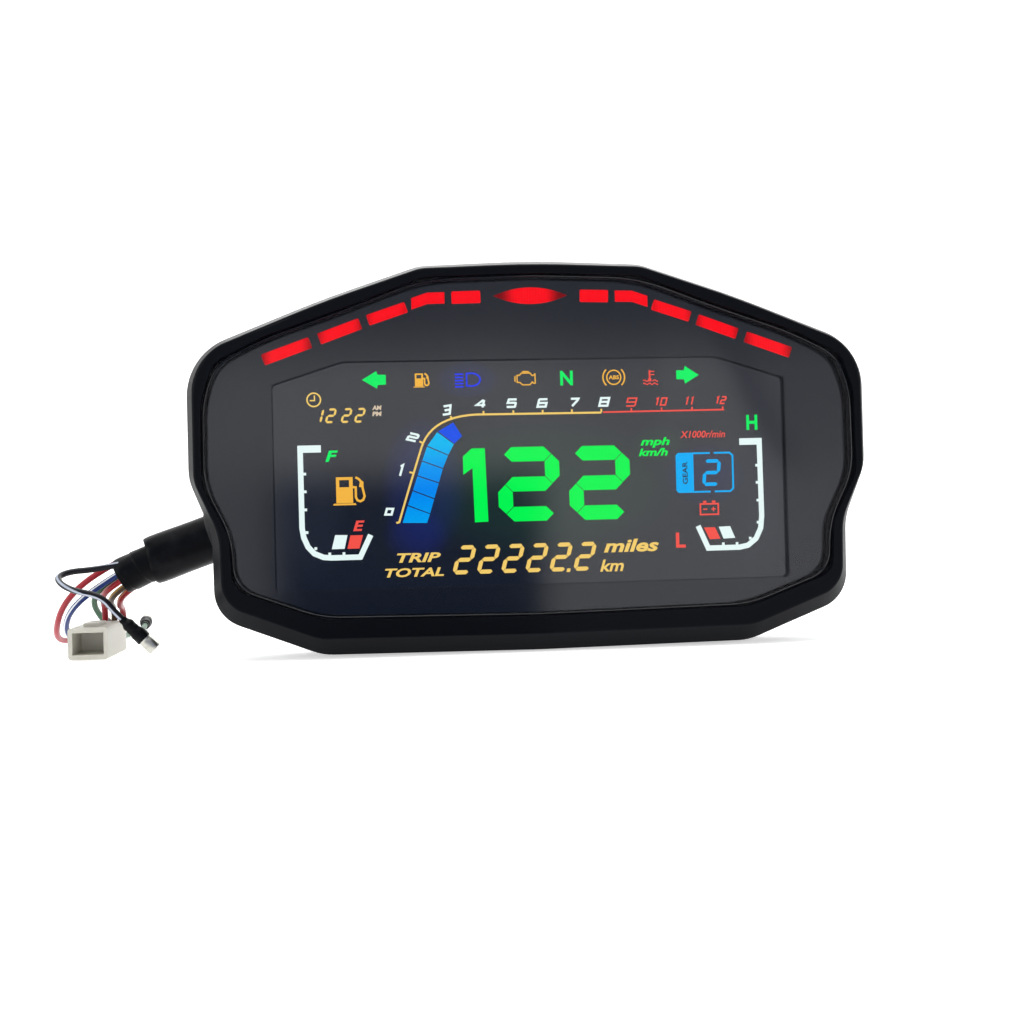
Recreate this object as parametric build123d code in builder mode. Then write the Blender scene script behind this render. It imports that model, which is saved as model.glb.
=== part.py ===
from build123d import *
import math
import os

# Motorcycle instrument cluster: a sealed housing with a colour segment LCD, a row of
# shift lights above it, two push buttons on its back and a harness that leaves on the left.
# Frame: X is the width (+X right as the rider sees it), +Z up, the face looks towards -Y.
# The origin is under the middle of the housing, on the surface that it stands on.
# Depths are measured backwards from the front face, in millimetres.

# ---- driving dimensions --------------------------------------------------------------
DEPTH = 42.0  # overall front to back
FRONT_Y = -DEPTH / 2
RIM_DEPTH = 5.0  # where the bezel is widest
BEZEL_DEPTH = 23.5
LIP_DEPTH = 2.2  # thickness of the lip in front of the lens
LENS_T = 2.0
SEAL_T = 0.8
MASK_T = 1.2
LENS_BACK = LIP_DEPTH + LENS_T
MASK_FRONT = LENS_BACK + SEAL_T
MASK_BACK = MASK_FRONT + MASK_T
LENS_EDGE = 1.1  # how far the lens reaches past the opening
POCKET_GAP = 0.2
WALL = 4.0
RIM_WALL = 2.2  # wall beside the rear cover's flange
SHELF_DEPTH = 20.2  # shelf that carries the cover seal
FLANGE_FRONT = 21.0
FIT_GAP = 0.2

# Half outlines, right side, from top to bottom: x, z and corner radius.
RIM_OUTLINE = [
    (0.0, 108.7, 300), (31.0, 107.5, 14), (58.0, 98.4, 300), (94.9, 83.6, 17), (95.0, 49.6, 14),
    (89.1, 34.8, 18), (88.9, 11.9, 10.5), (59.9, 0.6, 16), (0.0, 0.0, 300),
]
FACE_OUTLINE = [
    (0.0, 106.9, 300), (30.6, 105.9, 13), (57.2, 97.0, 300), (92.6, 82.6, 15), (92.8, 48.8, 12),
    (86.4, 34.4, 16), (86.0, 15.6, 9), (60.2, 5.6, 16), (0.0, 5.0, 300),
]
OPENING = [
    (0.0, 104.5, 300), (30.0, 103.6, 12), (50.0, 96.0, 30), (73.6, 87.8, 30), (87.0, 81.0, 6),
    (90.6, 70.6, 20), (90.9, 47.6, 10), (84.0, 33.8, 14), (83.4, 19.4, 6), (59.8, 10.6, 14),
    (0.0, 9.7, 1500),
]
WINDOW = [(52.8, 81.4, 2), (72.2, 75.2, 1.2), (72.4, 18.1, 1.2)]

# Display stack
GLASS_FRONT = 7.0
GLASS_T = 1.1
GLASS_EDGE = 2.0
FILM_FRONT = 9.4
FILM_T = 0.3
DIFFUSER_FRONT = 9.9
DIFFUSER_T = 1.5
BOX_FRONT = 11.5
BOX_BACK = 17.5
BOX_EDGE = 2.8
BOX_WALL = 1.4
BOARD_FRONT = 17.6
BOARD_T = 1.6
BOARD_BACK = BOARD_FRONT + BOARD_T
BOARD_INSET = 3.5
EAR_X = 80.0
EAR_Z = [44.0, 66.0]
EAR_R = 3.4
BOARD_SCREW_R = 1.2

# Shift lights: centre x, centre z, length, height and tilt of the right-hand bars, inside out
BARS = [
    (18.0, 98.75, 8.1, 3.5, -1.3), (28.6, 97.9, 9.3, 3.2, -10.8), (40.0, 94.4, 11.3, 3.1, -18.4),
    (53.1, 89.7, 12.2, 3.2, -20.0), (67.7, 84.4, 13.9, 3.2, -19.7),
]
BAR_CLEAR = 0.06
CENTRE_BAR = (10.4, 99.0, 2.35)  # half length, centre z, half height
CELL_EDGE = 0.8
CELL_RING = [
    (0.0, 102.6), (29.2, 102.4), (48.5, 95.4), (73.5, 87.0), (80.0, 83.6),
    (78.4, 77.2), (27.8, 93.5), (0.0, 94.6),
]

# Rear cover
TUB_INSET = 12.0
TUB_WALL = 2.2
TUB_BACK = 35.4
TUB_FLOOR = TUB_BACK - TUB_WALL
TUB_TAPER = 6.0
POSTS = [(84.5, 78.0, 43), (81.5, 22.0, 0), (35.0, 7.6, -90)]  # x, z and direction to the wall
POST_R = 3.2
POST_HOLE_R = 1.2
RIB = (6.4, 2.4)
SCREW_HEAD_R = 2.5
SCREW_HEAD_H = 1.7
SCREW_R = 1.1

# Mounts: four M5 threaded brass inserts in bosses on the back
MOUNT_X = 70.0
MOUNT_Z = 36.0
MOUNT_MID_Z = 54.0
MOUNT_R = 2.5
INSERT_R = 3.6
INSERT_L = 9.0
BOSS_R = 6.4
BOSS_FRONT = 28.5

# Buttons
BUTTON_X = 13.0
BUTTON_Z = 24.0
BUTTON_R = 5.5
BUTTON_GAP = 0.3
BUTTON_BACK = 38.4
SWITCH_SIZE = 6.2
SWITCH_H = 3.6
PLUNGER_R = 1.7
PLUNGER_GAP = 0.08
PLUNGER_END = 24.2
STEM_R = 2.6

# Harness: leaves the left side of the cover, sloping down
CABLE_DEPTH = 32.0
CABLE_Y = FRONT_Y + CABLE_DEPTH
CABLE_MOUTH = (-84.0, 36.3)
CABLE_SLOPE = 19.0
SPOUT_R = 10.0
SPOUT_BORE_R = 8.5
SPOUT_L = 31.0
SLEEVE_R = 7.1
SLEEVE_BORE_R = 6.1
SLEEVE_START = -6.0
SLEEVE_END = 28.5
CORE_R = 3.5
TAPE_R = 5.6
TAPE_END = (-119.7, 22.4)
WIRE_R = 0.9

# Wire routes, from inside the tape to the connector
WIRES = {
    "wire_red": [
        (-118.2, 10.4, 28.1), (-128, 11, 23.5), (-138, 16, 15), (-144, 28, 5.5), (-146, 42, 1),
        (-143, 57, 1), (-145, 72, 1.2), (-144, 84, 2.2),
    ],
    "wire_blue_white": [
        (-117.6, 7.1, 24.8), (-126, 7.5, 20), (-134.5, 10.5, 13.5), (-139, 20, 6.5), (-138.5, 33, 1.1),
        (-136, 47, 1), (-138, 61, 1.2), (-136, 73, 2.2),
    ],
    "wire_green": [
        (-117.3, 12.5, 24.2), (-125.5, 15, 20.5), (-132, 24, 15), (-131, 35, 7.5), (-128.5, 46, 1.5),
        (-130, 59, 1), (-127, 73, 1.2), (-129, 85, 2.2),
    ],
    "wire_black_white": [
        (-118.5, 8.2, 26.5), (-126.5, 8, 22.8), (-132, 4.5, 21), (-132, -1, 20.5), (-127, -4, 20),
        (-121.6, -3, 17.8), (-118.6, -2.5, 13), (-114.9, -2.2, 9.3),
    ],
    "wire_sensor_red": [
        (-116.7, 7.1, 23), (-122.4, 8, 19.8), (-127, 17, 16.5), (-128.8, 27, 13.8), (-128.8, 28.2, 8.6),
        (-128.8, 24.8, 4.6), (-128.8, 16.5, 4.8),
    ],
    "wire_sensor_brown": [
        (-115.8, 8.1, 21.3), (-120.8, 9, 18.4), (-125, 17.5, 14.8), (-126, 26.5, 13), (-126, 28.1, 8.2),
        (-126, 24.8, 4.5), (-126, 16.5, 4.8),
    ],
    "wire_sensor_dark_red": [
        (-115.1, 10, 20.1), (-119.8, 11, 17.2), (-122.4, 18.5, 13.6), (-123.2, 26, 12.6),
        (-123.2, 27.8, 8), (-123.2, 24.6, 4.4), (-123.2, 16.5, 4.8),
    ],
}
SOCKETS = ["red", "blue_white", "green", "black_white"]
SOCKET_R = 2.0
SOCKET_BORE_R = 1.5
SOCKET_L = 6.6
CRIMP_R = 2.15
CRIMP_L = 8.5
CRIMP_OVER = 2.5  # how far the crimp sleeve covers the socket
CONNECTOR = (11.0, 22.0, 9.0)
CONNECTOR_AT = (-126.0, 7.0, 4.7)
CONNECTOR_PITCH = 2.8

os.makedirs("parts", exist_ok=True)


# ---- helpers -------------------------------------------------------------------------
def at_depth(depth):
    """Sketch plane that looks out of the face, this far behind the front."""
    return Plane.XZ.offset(-(FRONT_Y + depth))


def mirrored(half):
    """The half outline followed by its mirror image, without a second point on the centre line."""
    return half + [(-p[0], *p[1:]) for p in reversed(half) if p[0] > 0]


def outline(half, grow=0.0):
    """Rounded closed outline as a face in the sketch that is being drawn, grown outwards."""
    corners = mirrored(half)
    with BuildSketch(mode=Mode.PRIVATE) as shape:
        with BuildLine():
            FilletPolyline([c[:2] for c in corners], radius=[c[2] for c in corners], close=True)
        make_face()
        if grow:
            offset(amount=grow)
    add(shape.sketch)


def save(part, node):
    """Label one finished piece and write it."""
    part.label = node
    export_step(part, f"parts/{node}.step")


def sides():
    """Right, then left."""
    return (1, -1)


def bar_places(side):
    """Where the five bars of one side sit, with their lengths and heights."""
    for x, z, length, height, tilt in BARS:
        yield Location((side * x, z), side * tilt), length, height


def draw_bars(side, grow=0.0):
    """The five bars of one side; the second from the middle is kinked."""
    for index, (place, length, height) in enumerate(bar_places(side)):
        with Locations(place):
            if index != 1:
                RectangleRounded(length + 2 * grow, height + 2 * grow, 0.35)
        if index == 1:
            draw_kinked_bar(side, grow)


def draw_kinked_bar(side, grow=0.0):
    """Bar that turns from level to sloping half way along."""
    x, z, length, height, tilt = BARS[1]
    half = length / 2
    drop = half * math.tan(math.radians(16.0))
    line = [(x - half - grow, z + 0.75), (x + 0.2, z + 0.65), (x + half + grow, z + 0.5 - drop)]
    tall = height / 2 + grow
    ring = [(side * px, pz + tall) for px, pz in line] + [(side * px, pz - tall) for px, pz in reversed(line)]
    with BuildSketch(mode=Mode.PRIVATE) as bar:
        with BuildLine():
            Polyline(*ring, close=True)
        make_face()
    add(bar.sketch)


def draw_centre_bar(grow=0.0):
    """Pointed oval in the middle of the shift lights."""
    half, z, tall = CENTRE_BAR
    with BuildSketch(mode=Mode.PRIVATE) as bar:
        with BuildLine():
            ThreePointArc((-half - grow, z), (0, z + tall + grow), (half + grow, z))
            ThreePointArc((half + grow, z), (0, z - tall - grow), (-half - grow, z))
        make_face()
    add(bar.sketch)


def post_places():
    """Centres of the six cover posts and the direction of each one's rib."""
    for side in sides():
        for x, z, angle in POSTS:
            yield side * x, z, angle if side > 0 else 180 - angle


def mount_places():
    """Centres of the four mounting bosses in the face plane."""
    for side in sides():
        for step in (-0.5, 0.5):
            yield side * MOUNT_X / 2, MOUNT_MID_Z + step * MOUNT_Z


def cable_plane(along):
    """Plane across the cable, this far out from the mouth of the spout."""
    slope = math.radians(CABLE_SLOPE)
    x = CABLE_MOUTH[0] - along * math.cos(slope)
    z = CABLE_MOUTH[1] - along * math.sin(slope)
    return Plane(origin=(x, CABLE_Y, z), x_dir=(0, 1, 0), z_dir=(-math.cos(slope), 0, -math.sin(slope)))


def route_radii(points, share=0.45):
    """Corner radii of a route: as large as the shorter of each corner's two runs allows."""
    radii = []
    for before, corner, after in zip(points, points[1:], points[2:]):
        first = Vector(*corner) - Vector(*before)
        second = Vector(*after) - Vector(*corner)
        turn = math.radians(first.get_angle(second))
        radii.append(share * min(first.length, second.length) / math.tan(turn / 2))
    return radii


def tube_along(points, radius):
    """Round tube along straight runs joined by tangent arcs, ready to be kept as a part."""
    radii = route_radii(points)
    with BuildPart() as tube:
        with BuildLine() as path:
            FilletPolyline(*points, radius=radii)
        with BuildSketch(Plane(origin=path.line @ 0, z_dir=path.line % 0)):
            Circle(radius)
        sweep()
    length = path.wire().length
    print("length", round(length, 1), "radii", [round(r, 1) for r in radii],
          "volume ratio", round(tube.part.volume / (math.pi * radius**2 * length), 3))
    return tube.part


# ---- bezel, lens and mask ------------------------------------------------------------
with BuildPart() as front_bezel:
    with BuildSketch(at_depth(0)):
        outline(FACE_OUTLINE)
    with BuildSketch(at_depth(RIM_DEPTH)):
        outline(RIM_OUTLINE)
    loft(ruled=True)
    with BuildSketch(at_depth(BEZEL_DEPTH)):
        outline(RIM_OUTLINE)
    extrude(amount=BEZEL_DEPTH - RIM_DEPTH)
    faces_y = front_bezel.faces().filter_by(Axis.Y).sort_by(Axis.Y)
    fillet(faces_y[0].outer_wire().edges(), 0.9)
    chamfer(front_bezel.faces().filter_by(Axis.Y).sort_by(Axis.Y)[-1].outer_wire().edges(), 0.6)
    with BuildSketch(at_depth(LENS_BACK)):
        outline(OPENING)
    extrude(amount=LENS_BACK, mode=Mode.SUBTRACT)
    with BuildSketch(at_depth(MASK_BACK)):
        outline(OPENING, LENS_EDGE + POCKET_GAP)
    extrude(amount=MASK_BACK - LIP_DEPTH, mode=Mode.SUBTRACT)
    with BuildSketch(at_depth(SHELF_DEPTH)):
        outline(RIM_OUTLINE, -WALL)
    extrude(amount=SHELF_DEPTH - MASK_BACK, mode=Mode.SUBTRACT)
    with BuildSketch(at_depth(BEZEL_DEPTH)):
        outline(RIM_OUTLINE, -RIM_WALL)
    extrude(amount=BEZEL_DEPTH - SHELF_DEPTH, mode=Mode.SUBTRACT)
    with BuildSketch(at_depth(FLANGE_FRONT)):
        for x, z, angle in post_places():
            with Locations((x, z)):
                Circle(POST_R)
    extrude(amount=FLANGE_FRONT - MASK_BACK)
    with BuildSketch(at_depth(SHELF_DEPTH)):
        for x, z, angle in post_places():
            with Locations(Location((x, z), angle)):
                Rectangle(*RIB, align=(Align.MIN, Align.CENTER))
    extrude(amount=SHELF_DEPTH - MASK_BACK)
    with BuildSketch(at_depth(FLANGE_FRONT)):
        for x, z, angle in post_places():
            with Locations((x, z)):
                Circle(POST_HOLE_R)
    extrude(amount=10.0, mode=Mode.SUBTRACT)
save(front_bezel.part, "front_bezel")

with BuildPart() as lens:
    with BuildSketch(at_depth(LENS_BACK)):
        outline(OPENING, LENS_EDGE)
    extrude(amount=LENS_T)
    fillet(lens.faces().sort_by(Axis.Y)[0].edges(), 0.25)
save(lens.part, "lens")

with BuildPart() as lens_seal:
    with BuildSketch(at_depth(MASK_FRONT)):
        outline(OPENING, LENS_EDGE)
        with BuildSketch(mode=Mode.SUBTRACT):
            outline(OPENING, -0.6)
    extrude(amount=SEAL_T)
save(lens_seal.part, "lens_seal")

with BuildPart() as face_mask:
    with BuildSketch(at_depth(MASK_BACK)):
        outline(OPENING, LENS_EDGE)
    extrude(amount=MASK_T)
    with BuildSketch(at_depth(MASK_BACK)):
        outline(WINDOW)
        draw_centre_bar()
        draw_bars(1)
        draw_bars(-1)
    extrude(amount=MASK_T, mode=Mode.SUBTRACT)
save(face_mask.part, "face_mask")


# ---- shift lights --------------------------------------------------------------------
WINDOW_T = 2.0
for side, node in ((1, "shift_windows_right"), (-1, "shift_windows_left")):
    with BuildPart() as shift_windows:
        with BuildSketch(at_depth(MASK_FRONT + WINDOW_T)):
            draw_bars(side, -BAR_CLEAR)
        extrude(amount=WINDOW_T)
    save(shift_windows.part, node)

with BuildPart() as shift_window_centre:
    with BuildSketch(at_depth(MASK_FRONT + WINDOW_T)):
        draw_centre_bar(-BAR_CLEAR)
    extrude(amount=WINDOW_T)
save(shift_window_centre.part, "shift_window_centre")

with BuildPart() as shift_light_housing:
    with BuildSketch(at_depth(BOARD_FRONT)):
        with BuildLine():
            Polyline(*mirrored(CELL_RING), close=True)
        make_face()
    extrude(amount=BOARD_FRONT - MASK_BACK - 0.1)
    with BuildSketch(at_depth(BOARD_FRONT)):
        draw_centre_bar(CELL_EDGE)
        draw_bars(1, CELL_EDGE)
        draw_bars(-1, CELL_EDGE)
    extrude(amount=BOARD_FRONT - MASK_BACK, mode=Mode.SUBTRACT)
save(shift_light_housing.part, "shift_light_housing")

LED = (3.0, 1.9, 1.2)
with BuildPart() as shift_leds:
    with Locations(at_depth(BOARD_FRONT)):
        with Locations((0, CENTRE_BAR[1])):
            Box(*LED, align=(Align.CENTER, Align.CENTER, Align.MIN))
        for side in sides():
            for x, z, length, height, tilt in BARS:
                with Locations((side * x, z)):
                    Box(*LED, align=(Align.CENTER, Align.CENTER, Align.MIN))
save(shift_leds.part, "shift_leds")


# ---- display stack -------------------------------------------------------------------
with BuildPart() as lcd_front_glass:
    with BuildSketch(at_depth(GLASS_FRONT + GLASS_T)):
        outline(WINDOW, GLASS_EDGE)
    extrude(amount=GLASS_T)
save(lcd_front_glass.part, "lcd_front_glass")

LEDGE = (120.0, 2.6)  # contact ledge below the front glass
with BuildPart() as lcd_rear_glass:
    with BuildSketch(at_depth(GLASS_FRONT + 2 * GLASS_T)):
        outline(WINDOW, GLASS_EDGE)
        with Locations((0, WINDOW[2][1] - GLASS_EDGE)):
            Rectangle(*LEDGE)
    extrude(amount=GLASS_T)
save(lcd_rear_glass.part, "lcd_rear_glass")

with BuildPart() as colour_film:
    with BuildSketch(at_depth(FILM_FRONT + FILM_T)):
        outline(WINDOW, GLASS_EDGE - 0.5)
    extrude(amount=FILM_T)
save(colour_film.part, "colour_film")

with BuildPart() as diffuser:
    with BuildSketch(at_depth(DIFFUSER_FRONT + DIFFUSER_T)):
        outline(WINDOW, GLASS_EDGE - 0.5)
    extrude(amount=DIFFUSER_T)
save(diffuser.part, "diffuser")

with BuildPart() as light_box:
    with BuildSketch(at_depth(BOX_BACK)):
        outline(WINDOW, BOX_EDGE)
        for side in sides():
            for z in EAR_Z:
                with Locations((side * (EAR_X - EAR_R), z)):
                    Rectangle(2 * EAR_R, 2 * EAR_R)
                with Locations((side * EAR_X, z)):
                    Circle(EAR_R)
    extrude(amount=BOX_BACK - BOX_FRONT)
    with BuildSketch(at_depth(BOX_BACK)):
        outline(WINDOW, BOX_EDGE - BOX_WALL)
    extrude(amount=BOX_BACK - BOX_FRONT, mode=Mode.SUBTRACT)
    with BuildSketch(at_depth(BOX_BACK)):
        for side in sides():
            with Locations(*[(side * EAR_X, z) for z in EAR_Z]):
                Circle(BOARD_SCREW_R + 0.05)
    extrude(amount=BOX_BACK - BOX_FRONT, mode=Mode.SUBTRACT)
save(light_box.part, "light_box")

LED_GRID = (18.0, 17.0, 8, 4)
with BuildPart() as backlight_leds:
    with Locations(at_depth(BOARD_FRONT)):
        with Locations((0, 47.0)):
            with GridLocations(*LED_GRID):
                Box(*LED, align=(Align.CENTER, Align.CENTER, Align.MIN))
save(backlight_leds.part, "backlight_leds")

PIN_PITCH = 2.54
PIN_COUNT = 44
PIN_Z = 14.4
PIN = (0.5, 0.4)
with BuildPart() as lcd_pins:
    with BuildSketch(at_depth(BOARD_BACK + 1.0)):
        with Locations((0, PIN_Z)):
            with GridLocations(PIN_PITCH, 1, PIN_COUNT, 1):
                Rectangle(*PIN)
    extrude(amount=BOARD_BACK + 1.0 - GLASS_FRONT - GLASS_T)
save(lcd_pins.part, "lcd_pins")


# ---- circuit board -------------------------------------------------------------------
with BuildPart() as main_board:
    with BuildSketch(at_depth(BOARD_BACK)):
        outline(OPENING, -BOARD_INSET)
        for x, z, angle in post_places():
            with Locations((x, z)):
                Circle(POST_R + 1.2, mode=Mode.SUBTRACT)
        with Locations((0, PIN_Z)):
            with GridLocations(PIN_PITCH, 1, PIN_COUNT, 1):
                Circle(0.45, mode=Mode.SUBTRACT)
        for side in sides():
            with Locations(*[(side * EAR_X, z) for z in EAR_Z]):
                Circle(BOARD_SCREW_R + 0.2, mode=Mode.SUBTRACT)
    extrude(amount=BOARD_T)
save(main_board.part, "main_board")

def flat_chip(size, height, leads, centre):
    """Square chip with a row of leads on each side, standing on the back of the board."""
    pitch = (size - 1.5) / (leads - 1)
    with BuildPart() as chip:
        with BuildSketch(at_depth(BOARD_BACK + height)):
            with Locations(centre):
                RectangleRounded(size, size, 0.4)
        extrude(amount=height - 0.15)
        with BuildSketch(at_depth(BOARD_BACK + 0.6)):
            with Locations(centre):
                with GridLocations(pitch, 1, leads, 1):
                    Rectangle(0.3, size + 2.2)
                with GridLocations(1, pitch, 1, leads):
                    Rectangle(size + 2.2, 0.3)
        extrude(amount=0.59)
    return chip.part


save(flat_chip(12.0, 1.6, 16, (0.0, 66.0)), "microcontroller")
save(flat_chip(10.0, 1.4, 12, (0.0, 44.0)), "display_driver")

with BuildPart() as voltage_regulator:
    with BuildSketch(at_depth(BOARD_BACK + 0.5)):
        with Locations((52.0, 33.0)):
            Rectangle(6.6, 9.6)
    extrude(amount=0.49)
    with BuildSketch(at_depth(BOARD_BACK + 2.4)):
        with Locations((52.0, 32.2)):
            Rectangle(6.4, 6.2)
    extrude(amount=2.0)
save(voltage_regulator.part, "voltage_regulator")

CAN_PLACES = [(56.0, 54.0), (56.0, 66.0), (66.0, 60.0)]
CAN_R = 4.0
CAN_H = 10.2
with BuildPart() as capacitors:
    with BuildSketch(at_depth(BOARD_BACK + CAN_H)):
        with Locations(*CAN_PLACES):
            Circle(CAN_R)
    extrude(amount=CAN_H - 1.6)
    with BuildSketch(at_depth(BOARD_BACK + 2.0)):
        with Locations(*CAN_PLACES):
            RectangleRounded(2 * CAN_R + 0.4, 2 * CAN_R + 0.4, 1.0)
    extrude(amount=1.99)
save(capacitors.part, "capacitors")

with BuildPart() as power_inductor:
    with BuildSketch(at_depth(BOARD_BACK + 4.5)):
        with Locations((66.0, 40.0)):
            RectangleRounded(10.0, 10.0, 2.0)
    extrude(amount=4.49)
save(power_inductor.part, "power_inductor")

with BuildPart() as crystal:
    with BuildSketch(at_depth(BOARD_BACK + 3.4)):
        with Locations((14.0, 55.0)):
            SlotOverall(11.0, 4.6)
    extrude(amount=3.39)
save(crystal.part, "crystal")

CHIP = (1.6, 0.85, 0.6)
with BuildPart() as chip_parts:
    with Locations(at_depth(BOARD_BACK + CHIP[2] + 0.01)):
        for centre, grid in (((-18.0, 58.0), (3.2, 2.4, 4, 5)), ((24.0, 40.0), (3.2, 2.6, 5, 4))):
            with Locations(centre):
                with GridLocations(*grid):
                    Box(*CHIP, align=(Align.CENTER, Align.CENTER, Align.MIN))
save(chip_parts.part, "chip_parts")

HEADER_AT = (-48.0, 50.0)
HEADER = (8.0, 26.0)
HEADER_BACK = 25.2
PLUG_BACK = 30.8
with BuildPart() as wire_header:
    with BuildSketch(at_depth(HEADER_BACK)):
        with Locations(HEADER_AT):
            Rectangle(*HEADER)
    extrude(amount=HEADER_BACK - BOARD_BACK - 0.01)
    with BuildSketch(at_depth(HEADER_BACK)):
        with Locations(HEADER_AT):
            Rectangle(HEADER[0] - 2.0, HEADER[1] - 2.0)
    extrude(amount=4.0, mode=Mode.SUBTRACT)
save(wire_header.part, "wire_header")

with BuildPart() as header_plug:
    with BuildSketch(at_depth(PLUG_BACK)):
        with Locations(HEADER_AT):
            Rectangle(HEADER[0] - 2.2, HEADER[1] - 2.2)
    extrude(amount=PLUG_BACK - HEADER_BACK + 3.8)
    with BuildSketch(at_depth(PLUG_BACK)):
        with Locations(HEADER_AT):
            Rectangle(HEADER[0] - 0.5, HEADER[1] - 1.0)
    extrude(amount=PLUG_BACK - HEADER_BACK - 0.02)
save(header_plug.part, "header_plug")


# ---- buttons -------------------------------------------------------------------------
for x, name in ((BUTTON_X, "mode"), (-BUTTON_X, "adjust")):
    with BuildPart() as switch_body:
        with BuildSketch(at_depth(BOARD_BACK + SWITCH_H)):
            with Locations((x, BUTTON_Z)):
                RectangleRounded(SWITCH_SIZE, SWITCH_SIZE, 0.5)
        extrude(amount=SWITCH_H - 0.01)
        with BuildSketch(at_depth(BOARD_BACK + SWITCH_H)):
            with Locations((x, BUTTON_Z)):
                Circle(PLUNGER_R + PLUNGER_GAP)
        extrude(amount=2.6, mode=Mode.SUBTRACT)
    save(switch_body.part, f"{name}_switch")

    with BuildPart() as plunger:
        with BuildSketch(at_depth(PLUNGER_END)):
            with Locations((x, BUTTON_Z)):
                Circle(PLUNGER_R)
        extrude(amount=PLUNGER_END - BOARD_BACK - SWITCH_H + 1.4)
    save(plunger.part, f"{name}_plunger")

    with BuildPart() as button:
        with BuildSketch(at_depth(BUTTON_BACK)):
            with Locations((x, BUTTON_Z)):
                Circle(BUTTON_R)
        extrude(amount=BUTTON_BACK - 31.4)
        fillet(button.faces().sort_by(Axis.Y)[-1].edges(), 1.4)
        with BuildSketch(at_depth(31.4)):
            with Locations((x, BUTTON_Z)):
                Circle(BUTTON_R + 1.3)
        extrude(amount=1.0)
        with BuildSketch(at_depth(30.4)):
            with Locations((x, BUTTON_Z)):
                Circle(STEM_R)
        extrude(amount=30.4 - PLUNGER_END - 0.02)
    save(button.part, f"{name}_button")


# ---- rear cover ----------------------------------------------------------------------
with BuildPart() as rear_cover:
    with BuildSketch(at_depth(BEZEL_DEPTH)):
        outline(RIM_OUTLINE, -RIM_WALL - FIT_GAP)
    extrude(amount=BEZEL_DEPTH - FLANGE_FRONT)
    with BuildSketch(at_depth(BEZEL_DEPTH)):
        outline(RIM_OUTLINE, -TUB_INSET)
    extrude(amount=-(TUB_BACK - BEZEL_DEPTH), taper=TUB_TAPER)
    fillet(rear_cover.faces().sort_by(Axis.Y)[-1].edges(), 2.4)
    with BuildSketch(at_depth(TUB_BACK - 1.0)):
        with Locations(*mount_places()):
            Circle(BOSS_R)
    extrude(amount=-(DEPTH - TUB_BACK + 1.0), taper=2)
    fillet(rear_cover.faces().sort_by(Axis.Y)[-4:].edges(), 0.6)
    with BuildSketch(cable_plane(-SPOUT_L)):
        Circle(SPOUT_R)
    extrude(amount=SPOUT_L)
    fillet(rear_cover.edges().filter_by(GeomType.CIRCLE).sort_by(Axis.X)[0], 0.8)
    with BuildSketch(at_depth(FLANGE_FRONT)):
        outline(RIM_OUTLINE, -TUB_INSET - TUB_WALL)
    extrude(amount=-(TUB_FLOOR - FLANGE_FRONT), taper=TUB_TAPER, mode=Mode.SUBTRACT)
    with BuildSketch(at_depth(BOSS_FRONT)):
        with Locations(*mount_places()):
            Circle(BOSS_R - 0.8)
    extrude(amount=-(TUB_FLOOR - BOSS_FRONT + 0.5))
    with BuildSketch(at_depth(DEPTH)):
        with Locations(*mount_places()):
            Circle(INSERT_R)
    extrude(amount=INSERT_L + 1.0, mode=Mode.SUBTRACT)
    with BuildSketch(cable_plane(0)):
        Circle(SPOUT_BORE_R)
    extrude(amount=-SPOUT_L, mode=Mode.SUBTRACT)
    with BuildSketch(at_depth(TUB_BACK)):
        with Locations((BUTTON_X, BUTTON_Z), (-BUTTON_X, BUTTON_Z)):
            Circle(BUTTON_R + BUTTON_GAP)
        with Locations((0, 84.0)):
            Circle(1.5)
    extrude(amount=TUB_WALL, mode=Mode.SUBTRACT)
    with BuildSketch(at_depth(BEZEL_DEPTH)):
        for x, z, angle in post_places():
            with Locations((x, z)):
                Circle(SCREW_R + 0.3)
    extrude(amount=BEZEL_DEPTH - FLANGE_FRONT, mode=Mode.SUBTRACT)
save(rear_cover.part, "rear_cover")

with BuildPart() as cover_seal:
    with BuildSketch(at_depth(FLANGE_FRONT)):
        outline(RIM_OUTLINE, -RIM_WALL - FIT_GAP)
        with BuildSketch(mode=Mode.SUBTRACT):
            outline(RIM_OUTLINE, -WALL + FIT_GAP)
    extrude(amount=FLANGE_FRONT - SHELF_DEPTH)
save(cover_seal.part, "cover_seal")

def cross_head(places, head_depth, head_r, head_h, shank_r, shank_l):
    """Pan-head screws driven forwards into the housing, each with a cross recess."""
    with BuildPart() as screws:
        with BuildSketch(at_depth(head_depth + head_h)):
            with Locations(*places):
                Circle(head_r)
        extrude(amount=head_h - 0.02)
        fillet(screws.faces().filter_by(Axis.Y).sort_by(Axis.Y)[-len(places):].edges(), 0.5)
        with BuildSketch(at_depth(head_depth)):
            with Locations(*places):
                Circle(shank_r)
        extrude(amount=shank_l)
        with BuildSketch(at_depth(head_depth)):
            with Locations(*places):
                Circle(shank_r)
        extrude(amount=-0.5)
        with BuildSketch(at_depth(head_depth + head_h)):
            with Locations(*places):
                Rectangle(head_r * 1.1, 0.55)
                Rectangle(0.55, head_r * 1.1)
        extrude(amount=0.9, mode=Mode.SUBTRACT)
    return screws.part


cover_places = [(x, z) for x, z, angle in post_places()]
ear_places = [(side * EAR_X, z) for side in sides() for z in EAR_Z]
save(cross_head(cover_places, BEZEL_DEPTH, SCREW_HEAD_R, SCREW_HEAD_H, SCREW_R, 10.0), "cover_screws")
save(cross_head(ear_places, BOARD_BACK, 2.2, 1.5, 1.1, 6.4), "board_screws")

with BuildPart() as mount_inserts:
    with BuildSketch(at_depth(DEPTH - 0.1)):
        with Locations(*mount_places()):
            Circle(INSERT_R - 0.02)
            Circle(MOUNT_R, mode=Mode.SUBTRACT)
    extrude(amount=INSERT_L)
save(mount_inserts.part, "mount_inserts")

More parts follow.
